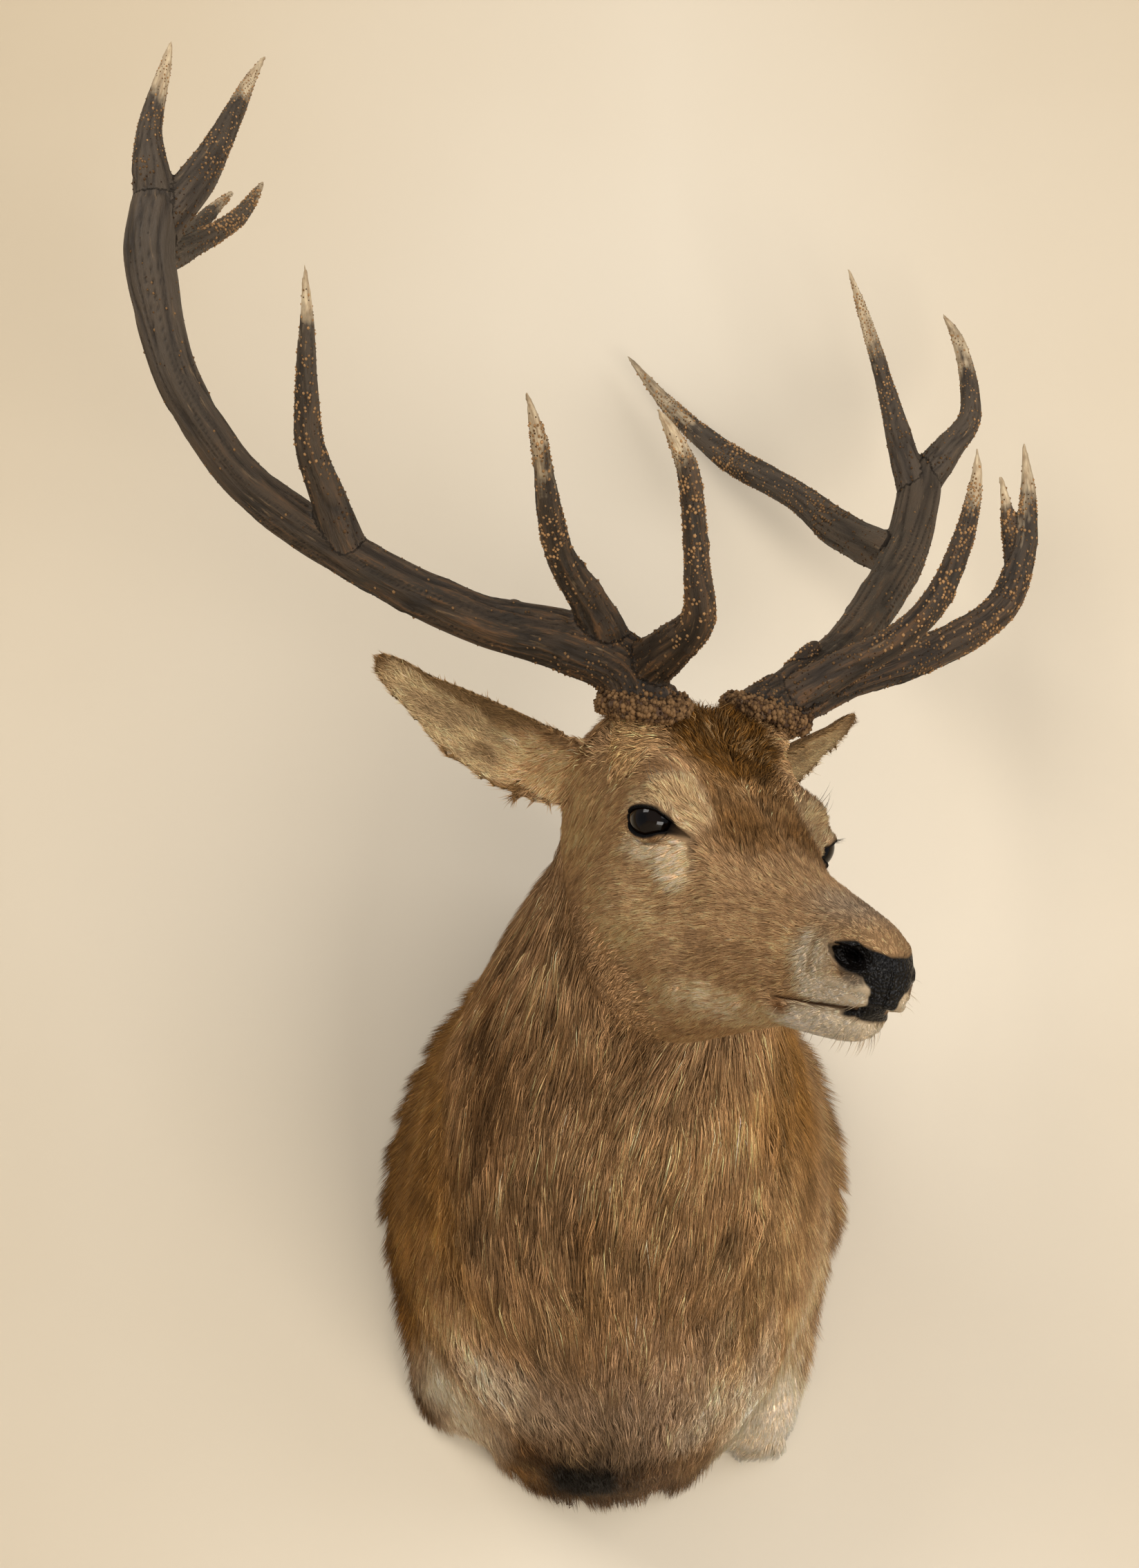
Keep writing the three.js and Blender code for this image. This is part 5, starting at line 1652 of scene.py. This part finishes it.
def pearl_material():
    m, t = material("antler_pearls")
    grain = t.mottle(t.place(), 800, 0.7, 1.15)
    colour = t.mixed(t.attribute("shade"), rgba("1f1109"), rgba("a17b52"))
    t.plug(t.shader, {
        "Base Color": t.mixed(1, colour, grain, "MULTIPLY"),
        "Roughness": t.mottle(t.place(), 300, 0.45, 0.7),
        "Normal": t.bump(grain, 0.0003),
        "Specular IOR Level": 0.06,
    })
    return m


def antler_material():
    """Dark horn with painted shade in its hollows, a warm painted highlight on its ridges low down, pale
    streaks and ivory tips.
    """
    m, t = material("weathered_antler")
    grain, hollow, knob = t.attribute("grain", "Vector"), t.attribute("hollow"), t.attribute("knob")
    along = t.stretched(grain, (1, 1, 0.13))
    fine, streak = t.noise(along, 400, 4, 0.6), t.noise(along, 320, 3)
    # Ridges between the gutters, made paler and warmer low down: painted highlight.
    ridge_highlight = t.levels(t.times(t.without(hollow), fine), 0.45, 0.72)
    height = t.add("ShaderNodeSeparateXYZ", {0: t.place()}).outputs["Z"]
    high = t.levels(height, 0.28, 0.62, 0.75)
    horn = t.ramp(t.noise(grain, 21, 4), (0.36, "1b1309"), (0.68, "3b2b1b"))
    for share, colour in (
        (high, "4b4033"),
        # Painted highlight on the ridges, strongest low down.
        (t.times(ridge_highlight, t.line(high, -0.7, 0.5)), "83582f"),
        # Painted shade in the gutters and between the burr's knobs.
        (t.times(hollow, 0.62), "0d0804"),
        (t.times(t.levels(streak, 0.62, 0.80), 0.32), "8c6e4a"),
        (t.times(knob, 0.5), "4a3220"),
    ):
        horn = t.mixed(share, horn, rgba(colour))
    ivory = t.mixed(t.levels(fine, 0.35, 0.75), rgba("bfab8a"), rgba("806546"))
    tip = t.maths("MAXIMUM", t.attribute("tip"), t.times(knob, 0.12))
    worn = t.levels(t.maths("ADD", tip, t.times(streak, 1.1)), 0.75, 1.6)
    t.plug(t.shader, {
        "Base Color": t.mixed(worn, horn, ivory),
        "Roughness": t.line(fine, 0.35, 0.42),
        "Normal": t.bump(fine, 0.0022),
        "Specular IOR Level": 0.2,
    })
    return m


def eye_material():
    m, t = material("dark_glass_eye")
    t.plug(t.shader, {
        "Base Color": t.mixed(t.attribute("iris"), rgba("020101"), rgba("0e0703")),
        "Roughness": 0.03,
        "Specular IOR Level": 0.16,
    })
    return m


def plywood_material(face, grain_line):
    m, t = material("plywood_board")
    where = t.place()
    layers = t.add("ShaderNodeTexWave", {
        "Vector": where, "Scale": 55, "Distortion": 1.2, "Detail": 2,
    }, bands_direction="Y")
    grain = t.noise(t.stretched(where, (30, 4, 2.2)), 6, 6)
    colour = t.mixed(grain, (*face, 1), (*grain_line, 1))
    t.plug(t.shader, {
        "Base Color": t.mixed(t.times(layers.outputs["Fac"], 0.35), colour, rgba("6e4b28")),
        "Roughness": t.line(grain, 0.2, 0.6),
        "Normal": t.bump(grain, 0.0006),
    })
    return m


# ---- geometry nodes

def geometry_group(name, **inputs):
    """A geometry node group with named inputs: its nodes, inputs and output node."""
    sockets = [("Geometry", "NodeSocketGeometry")]
    sockets += [(label, f"NodeSocket{kind}") for label, kind in inputs.items()]
    return new_group(name, "GeometryNodeTree", sockets, sockets[:1])


def named_value(t, name, kind="FLOAT"):
    return t.add("GeometryNodeInputNamedAttribute", {"Name": name}, data_type=kind).outputs[0]


def placed_group(t, start, end, inputs):
    """Ends a group: copies on points become one mesh with its material."""
    copies = t.add("GeometryNodeInstanceOnPoints", inputs)
    real = t.add("GeometryNodeRealizeInstances", {0: copies.outputs[0]})
    made = t.add("GeometryNodeSetMaterial", {"Geometry": real.outputs[0], "Material": start["Material"]})
    t.plug(end, {0: made.outputs[0]})
    return t.tree


def pearl_nodes():
    """Small beads, as many as `pearl` says and paler where `pale` is high."""
    most_to_the_square_metre, least_size, size_range, longer = 260000, 0.55, 0.9, 1.2
    t, start, end = geometry_group("pearls", Gap="Float", Size="Float", Seed="Int", Material="Material")
    points = t.add("GeometryNodeDistributePointsOnFaces", {
        "Mesh": start["Geometry"], "Distance Min": start["Gap"], "Density Max": most_to_the_square_metre,
        "Density Factor": named_value(t, "pearl"), "Seed": start["Seed"],
    }, distribute_method="POISSON").outputs
    chance = t.add("FunctionNodeRandomValue", {"Seed": start["Seed"]}).outputs["Value"]
    shaded = t.add("GeometryNodeStoreNamedAttribute", {
        "Geometry": points["Points"], "Name": "shade", "Value": t.times(named_value(t, "pale"), chance),
    })
    size = t.times(start["Size"], t.line(chance, size_range, least_size))
    size = t.times(size, named_value(t, "bead"))
    scale = t.add("ShaderNodeCombineXYZ", {0: size, 1: t.times(size, longer), 2: size})
    bead = t.add("GeometryNodeMeshUVSphere", {"Radius": 1, "Segments": 5, "Rings": 2})
    smooth = t.add("GeometryNodeSetShadeSmooth", {"Geometry": bead.outputs["Mesh"]})
    return placed_group(t, start, end, {
        "Points": shaded.outputs[0], "Instance": smooth.outputs[0], "Rotation": points["Rotation"],
        "Scale": scale.outputs[0],
    })


def bristle_nodes():
    """Curved tapering bristles on points that carry `way`, `back` and `long`."""
    t, start, end = geometry_group("bristles", Thickness="Float", Material="Material")
    curve = t.add("GeometryNodeCurveQuadraticBezier", {
        "Resolution": 5, "Start": (0, 0, 0), "Middle": (0, 0, 0.55), "End": (0.3, 0, 0.95),
    })
    along = t.add("GeometryNodeSplineParameter").outputs["Factor"]
    taper = t.times(start["Thickness"], t.without(along, 1.02))
    thin = t.add("GeometryNodeSetCurveRadius", {"Curve": curve.outputs[0], "Radius": taper})
    ring = t.add("GeometryNodeCurvePrimitiveCircle", {"Resolution": 3, "Radius": 1})
    tube = t.add("GeometryNodeCurveToMesh", {
        "Curve": thin.outputs[0], "Profile Curve": ring.outputs[0], "Fill Caps": True,
    })
    if "Scale" in tube.inputs:
        t.plug(tube, {"Scale": taper})
    way, back = (named_value(t, name, "FLOAT_VECTOR") for name in ("way", "back"))
    stand = t.add("FunctionNodeAlignRotationToVector", {"Vector": way}, axis="Z")
    turned = t.add("FunctionNodeAlignRotationToVector", {
        "Rotation": stand.outputs[0], "Vector": back,
    }, axis="X", pivot_axis="Z")
    return placed_group(t, start, end, {
        "Points": start["Geometry"], "Instance": tube.outputs[0], "Rotation": turned.outputs[0],
        "Scale": named_value(t, "long"),
    })


def worked_out(obj, tree, name, values):
    """The piece that a node group makes of an object, which is taken away."""
    modifier = obj.modifiers.new(tree.name, "NODES")
    modifier.node_group = tree
    for item in tree.interface.items_tree:
        if item.item_type == "SOCKET" and item.in_out == "INPUT" and item.name in values:
            modifier[item.identifier] = values[item.name]
    mesh = evaluated(obj)
    mesh.name = name
    return linked(name, mesh)


# ---- pieces

def finish_piece(obj, mat, replaced=()):
    obj.data.materials.clear()
    obj.data.materials.append(mat)
    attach(obj, "root")
    if replaced:
        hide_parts(*replaced)


def unwrapped(obj):
    """Unwraps the hide in flat charts, and gives each vertex's place there."""
    obj.data.uv_layers.new(name="OFBake")
    bpy.context.view_layer.objects.active = obj
    obj.select_set(True)
    bpy.ops.object.mode_set(mode="EDIT")
    bpy.ops.mesh.select_all(action="SELECT")
    bpy.ops.uv.smart_project(angle_limit=math.radians(72), island_margin=0.004)
    bpy.ops.object.mode_set(mode="OBJECT")
    obj.select_set(False)
    layer = obj.data.uv_layers["OFBake"]
    uv = np.empty(len(layer.data) * 2, np.float32)
    layer.data.foreach_get("uv", uv)
    place = np.zeros((len(obj.data.vertices), 2))
    place[corners_of(obj.data)] = uv.reshape(-1, 2)
    return place


def make_skin(settings):
    v, f = build_skin(settings)
    h, n = to_head(v), normals_of(v, f)
    obj = new_object("hide", v, f)
    store(obj.data, "colour", coat_colour(v, h, n), "COLOR")
    store(obj.data, "bare", bare_skin(h))
    store(obj.data, "lie", combed(v, n, h), "VECTOR")
    WORK.update(v=v, f=f, unwrap=unwrapped(obj))
    finish_piece(obj, hide_material(), FLESH)


def make_eyes(settings):
    mat = eye_material()
    for side, sign in SIDES.items():
        axis = way_from_head(EYE_AXIS * (1, sign, 1))
        forward = way_from_head(EYE_FORWARD * (1, sign, 1))
        v, f = ball_arrays((0, 0, 0), 1, settings.around, settings.rows)
        v = v @ np.array([forward, np.cross(axis, forward), axis])
        out = v @ axis
        centre = from_head(EYE_CENTRE * (1, sign, 1))
        obj = new_object(f"glass_eye_{side}", centre + v * settings.radius, f)
        store(obj.data, "iris", ramp(0.55, 0.75, out) * ramp(0.999, 0.93, out))
        finish_piece(obj, mat, (f"eye_{side}",))


def make_antlers(settings):
    mat, pearly = antler_material(), pearl_material()
    first_seed = 60
    for number, side in enumerate(SIDES):
        obj = build_antler(side, settings)
        nodes = [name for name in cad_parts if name.startswith(f"antler_{side}_")]
        finish_piece(obj, mat, nodes)
        seat = linked("pearl_seat", obj.data.copy())
        made = worked_out(seat, pearl_nodes(), f"antler_{side}_pearls", {
            "Gap": settings.pearl_gap, "Size": settings.pearl_size, "Seed": first_seed + number,
            "Material": pearly,
        })
        finish_piece(made, pearly)


def bristle_seats(settings):
    """Where lashes, brow hairs and whiskers stand: arrays for their points."""
    v, f = WORK["v"], WORK["f"]
    n, h = normals_of(v, f), to_head(v)
    u, w, out, inside = eye_plane(h)
    m = mirrored(h)
    rng = np.random.default_rng(77)
    side = for_side((1, 1, 1), side_of(h))
    lash, whisker, many = settings.lash_length, settings.whisker_length, settings.whiskers
    lip = (m[:, 1] > 18) & (np.abs(m[:, 2] + 14) < 16)
    lids = (np.abs(inside + 1.6) < 0.9) & (out > 0) & (np.abs(u) < 17) & (np.hypot(u, w) < 24)
    brow = (m[:, 1] > 40) & (sizes(m - (-235, 78, 104)) < 12)
    jaw = (h[:, 0] > -95) & (bare_skin(h) < 0.2)
    bridge = (np.abs(h[:, 0] + 60) < 30) & (h[:, 2] > 20)
    seats = []
    for where, count, long, local, shade, lean in (
        (lids & (w > 0), settings.lashes, lash, (0.5, 0.6, 0.25), 0.1, 0.5),
        (lids & (w < 0), settings.lashes // 3, 0.6 * lash, (0.3, 0.6, -0.5), 0.1, 0.5),
        (brow, 14, 2.2 * lash, (-0.2, 0.5, 0.9), 0.2, 0.7),
        (jaw & (m[:, 2] < -44), many, whisker, (-0.3, 0.1, -0.9), 1, 0.7),
        (jaw & lip, many, 0.8 * whisker, (-0.2, 0.9, -0.4), 0.8, 0.7),
        (bridge, many // 2, 0.4 * whisker, (-0.4, 0.2, 0.9), 0.5, 0.6),
    ):
        at = rng.choice(np.nonzero(where)[0], count, replace=False)
        way = n[at] * lean + way_from_head(unit(local) * side[at]) + rng.normal(0, 0.12, (count, 3))
        lengths = long * rng.uniform(0.6, 1.15, count)
        seats.append((v[at] - n[at] * MM, unit(way), -n[at], lengths, shade * rng.random(count)))
    return [np.concatenate(part) for part in zip(*seats)]


def make_bristles(settings):
    mat = bristle_material()
    places, *values = bristle_seats(settings)
    mesh = bpy.data.meshes.new("bristle_seats")
    mesh.vertices.add(len(places))
    mesh.vertices.foreach_set("co", places.astype(np.float32).ravel())
    for name, value in zip(("way", "back", "long", "shade"), values):
        store(mesh, name, value, "VECTOR" if value.ndim == 2 else "FLOAT")
    made = worked_out(linked("bristle_seats", mesh), bristle_nodes(), "lashes_and_whiskers", {
        "Thickness": settings.thickness, "Material": mat,
    })
    finish_piece(made, mat)


def make_backboard(settings):
    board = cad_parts["backboard"]
    board.data.materials.clear()
    board.data.materials.append(plywood_material(settings.face, settings.grain))


# ---- stage

WALL_Y = 0.002
WALL_HALF_WIDTH, WALL_TOP, FLOOR_Z, FLOOR_FRONT = 3, 3, -1.5, -5
SENSOR = 36  # millimetres
PICTURE_HEIGHT, FOCAL_LENGTH = 2268, 5000  # pixels
CAMERA_PLACE, CAMERA_AIM = (-0.047, -3.206, -0.202), (-0.047, -0.350, 0.302)
CLEAR_NEAR = 0.03  # the wall isn't seen from nearer than this, so it hides no back


def aimed(obj, place, aim):
    obj.location = place
    obj.rotation_euler = Vector(np.array(aim) - np.array(place)).to_track_quat("-Z", "Y").to_euler()
    return obj


def area_light(name, place, aim, size, power, colour):
    data = bpy.data.lights.new(name, "AREA")
    data.shape = "RECTANGLE"
    data.size, data.size_y = size
    data.energy = power
    data.color = colour
    aimed(linked(name, data), place, aim)


def plain_sheet(name, corners, mat):
    mesh = bpy.data.meshes.new(name)
    mesh.from_pydata(corners, [], [tuple(range(len(corners)))])
    mesh.materials.append(mat)
    linked(name, mesh)


def wall_material():
    """A pale wall, darker far from the mount as painted falloff of the light, and clear from behind and to
    shadow rays.
    """
    m, t = material("pale_wall")
    place = t.add("ShaderNodeSeparateXYZ", {0: t.place()}).outputs
    cloud = t.noise(t.place(), 1.7, 3)
    rise = t.maths("MAXIMUM", t.maths("SUBTRACT", place["Z"], 0.2), 0)
    away = t.maths("ABSOLUTE", t.maths("SUBTRACT", place["X"], 0.05))
    # Darker up high, to the sides and in clouds away from the mount: painted falloff of the light round it.
    far = t.levels(t.line(cloud, 0.5, t.line(rise, 0.6, away)), 0.4, 2.2)
    t.plug(t.shader, {
        "Base Color": t.mixed(far, rgba("c6bba8"), rgba("a08a66")),
        "Normal": t.bump(cloud, 0.002),
        "Roughness": 0.9,
    })
    ray = t.add("ShaderNodeLightPath").outputs
    behind = t.add("ShaderNodeNewGeometry").outputs["Backfacing"]
    unseen = t.maths("MAXIMUM", behind, ray["Is Shadow Ray"])
    unseen = t.maths("MAXIMUM", unseen, t.maths("LESS_THAN", ray["Ray Length"], CLEAR_NEAR))
    clear = t.add("ShaderNodeBsdfTransparent").outputs[0]
    choose = t.add("ShaderNodeMixShader", {0: unseen, 1: t.shader.outputs[0], 2: clear})
    t.plug(t.output, {"Surface": choose.outputs[0]})
    return m


def floor_material():
    m, t = material("pale_floor")
    t.plug(t.shader, {"Base Color": rgba("d6ccb8"), "Roughness": 0.8})
    return m


def make_stage(settings):
    scene = bpy.context.scene
    left, right = -WALL_HALF_WIDTH, WALL_HALF_WIDTH
    foot = [(left, WALL_Y, FLOOR_Z), (right, WALL_Y, FLOOR_Z)]
    plain_sheet("wall", foot + [(right, WALL_Y, WALL_TOP), (left, WALL_Y, WALL_TOP)], wall_material())
    front = [(left, FLOOR_FRONT, FLOOR_Z), (right, FLOOR_FRONT, FLOOR_Z)]
    plain_sheet("floor", front + foot[::-1], floor_material())

    camera = bpy.data.cameras.new("camera")
    camera.sensor_width = SENSOR
    camera.lens = FOCAL_LENGTH / PICTURE_HEIGHT * SENSOR
    scene.camera = aimed(linked("camera", camera), CAMERA_PLACE, CAMERA_AIM)

    world = bpy.data.worlds.new("soft_studio")
    scene.world = world
    world.use_nodes = True
    Nodes(world.node_tree).plug(world.node_tree.nodes["Background"], {
        0: (0.97, 0.97, 1, 1), 1: settings.world,
    })
    for name, place, aim, size, power, colour in (
        ("key_light", (-2.2, -3, 2.6), (0, -0.3, 0.1), (1.8, 1.8), settings.key, (1, 0.975, 0.94)),
        ("fill_light", (2.6, -2.4, 1), (0, -0.3, 0.2), (2.2, 2.2), settings.fill, (0.98, 0.98, 1)),
        ("low_light", (1.4, -2.6, -1.3), (0.1, -0.2, -0.15), (1.6, 1), settings.low, (1, 0.97, 0.93)),
    ):
        area_light(name, place, aim, size, power, colour)
    scene.view_settings.view_transform = "Standard"


# ---- settings, operators and panel

def number(name, description, default, low, high, **more):
    return bpy.props.FloatProperty(
        name=name, description=description, default=default, min=low, max=high, **more,
    )


def length(name, description, default):
    return number(name, description, default, 0.0001, 0.2, unit="LENGTH", subtype="DISTANCE", precision=4)


def power(name, description, default):
    return number(name, description, default, 0, 1000, unit="POWER")


def whole(name, description, default, low, high):
    return bpy.props.IntProperty(name=name, description=description, default=default, min=low, max=high)


def hairs(name, where, default):
    return number(name, f"Hairs to the square centimetre {where}", default, 1, 200)


def tint(name, description, hex_colour):
    return bpy.props.FloatVectorProperty(
        name=name, description=description, default=tuple(linear(hex_colour)), min=0, max=1,
        subtype="COLOR",
    )


class SkinSettings(bpy.types.PropertyGroup):
    voxel: length("Voxel", "Size of the grid that joins the flesh into one skin", 0.0026)
    even: whole("Even", "Rounds of smoothing over the joined skin", 45, 0, 200)
    throat: whole("Throat", "Rounds that soften the fold between jaw and neck", 60, 0, 200)
    kept: number("Kept", "Share of the faces kept, most on the head", 0.25, 0.2, 1, subtype="FACTOR")


class CoatSettings(bpy.types.PropertyGroup):
    face: hairs("Face", "on the face", 76)
    crown: hairs("Crown", "between the antlers", 62)
    jaw: hairs("Jaw", "at the back of the jaw", 50)
    ears: hairs("Ears", "on the ears", 72)
    mane: hairs("Mane", "on mane and chest", 29)
    sides: hairs("Sides", "on the shoulders", 19)
    lobes: hairs("Lobes", "on the lower lobes", 50)


class EyeSettings(bpy.types.PropertyGroup):
    radius: length("Radius", "Radius of each eyeball", EYE_RADIUS * MM)
    around: whole("Around", "Faces round an eyeball", 64, 12, 128)
    rows: whole("Rows", "Rows of faces from pole to pole", 40, 8, 128)


class AntlerSettings(bpy.types.PropertyGroup):
    voxel: length("Voxel", "Size of the grid that grows beams, tines and burr together", 0.00205)
    groove: number("Groove", "Depth of the gutters along the beams, in millimetres", 1.5, 0, 4)
    pearl_gap: length("Pearl gap", "Least distance between two pearls", 0.0022)
    pearl_size: length("Pearl size", "Radius of a common pearl", 0.00092)


class BristleSettings(bpy.types.PropertyGroup):
    lashes: whole("Lashes", "Lashes on both upper lids together", 90, 1, 400)
    lash_length: length("Lash length", "Length of an upper lash", 0.009)
    whiskers: whole("Whiskers", "Whiskers on the chin, and again on the lips", 46, 1, 400)
    whisker_length: length("Whisker length", "Length of a chin whisker", 0.017)
    thickness: number("Thickness", "Radius at the root as a share of the length", 0.014, 0.002, 0.1)


class BoardSettings(bpy.types.PropertyGroup):
    face: tint("Face", "Colour of the plywood's face", "b58d58")
    grain: tint("Grain", "Colour of the lines of its grain", "8a6236")


class StageSettings(bpy.types.PropertyGroup):
    key: power("Key", "Power of the high light at the left", 125)
    fill: power("Fill", "Power of the light at the right", 60)
    low: power("Low", "Power of the low light that the pale floor stands for", 72)
    world: number("World", "Strength of the even light from all round", 0.55, 0, 5)


GROUPS = {
    "skin": SkinSettings, "coat": CoatSettings, "eyes": EyeSettings, "antlers": AntlerSettings,
    "bristles": BristleSettings, "board": BoardSettings, "stage": StageSettings,
}


class MountSettings(bpy.types.PropertyGroup):
    pass


for group_name, group_class in GROUPS.items():
    MountSettings.__annotations__[group_name] = bpy.props.PointerProperty(type=group_class)


class MOUNT_OT_skin(bpy.types.Operator):
    """Join the flesh into one skin, lay lids and nostrils, and paint the markings"""
    bl_idname = "mount.skin"
    bl_label = "Skin"

    def execute(self, context):
        make_skin(context.scene.mount.skin)
        return {"FINISHED"}


class MOUNT_OT_coat(bpy.types.Operator):
    """Grow the hair of face, crown, ears, mane and shoulders on the skin"""
    bl_idname = "mount.coat"
    bl_label = "Coat"

    def execute(self, context):
        make_coat(context.scene.mount.coat)
        return {"FINISHED"}


class MOUNT_OT_eyes(bpy.types.Operator):
    """Set both glass eyes"""
    bl_idname = "mount.eyes"
    bl_label = "Eyes"

    def execute(self, context):
        make_eyes(context.scene.mount.eyes)
        return {"FINISHED"}


class MOUNT_OT_antlers(bpy.types.Operator):
    """Grow both antlers with gutters, burrs and pearls"""
    bl_idname = "mount.antlers"
    bl_label = "Antlers"

    def execute(self, context):
        make_antlers(context.scene.mount.antlers)
        return {"FINISHED"}


class MOUNT_OT_bristles(bpy.types.Operator):
    """Plant lashes, brow hairs and whiskers"""
    bl_idname = "mount.bristles"
    bl_label = "Lashes and whiskers"

    def execute(self, context):
        make_bristles(context.scene.mount.bristles)
        return {"FINISHED"}


class MOUNT_OT_board(bpy.types.Operator):
    """Give the backboard its plywood"""
    bl_idname = "mount.board"
    bl_label = "Backboard"

    def execute(self, context):
        make_backboard(context.scene.mount.board)
        return {"FINISHED"}


class MOUNT_OT_stage(bpy.types.Operator):
    """Set up wall, floor, lights and camera"""
    bl_idname = "mount.stage"
    bl_label = "Stage"

    def execute(self, context):
        make_stage(context.scene.mount.stage)
        return {"FINISHED"}


OPERATORS = (
    MOUNT_OT_skin, MOUNT_OT_coat, MOUNT_OT_eyes, MOUNT_OT_antlers, MOUNT_OT_bristles, MOUNT_OT_board,
    MOUNT_OT_stage,
)


class MOUNT_PT_panel(bpy.types.Panel):
    """Steps of the mount, in the order they are run"""
    bl_idname = "MOUNT_PT_panel"
    bl_label = "Stag head mount"
    bl_space_type = "VIEW_3D"
    bl_region_type = "UI"
    bl_category = "Stag"

    def draw(self, context):
        for step, operator in zip(GROUPS, OPERATORS):
            box = self.layout.box()
            box.operator(operator.bl_idname)
            settings = getattr(context.scene.mount, step)
            for name in settings.__annotations__:
                box.prop(settings, name)


CLASSES = (*GROUPS.values(), MountSettings, *OPERATORS, MOUNT_PT_panel)


def register():
    for cls in CLASSES:
        bpy.utils.register_class(cls)
    bpy.types.Scene.mount = bpy.props.PointerProperty(type=MountSettings)


def unregister():
    del bpy.types.Scene.mount
    for cls in reversed(CLASSES):
        bpy.utils.unregister_class(cls)


def main():
    register()
    for operator in OPERATORS:
        space, name = operator.bl_idname.split(".")
        getattr(getattr(bpy.ops, space), name)()


if __name__ == "__main__":
    main()
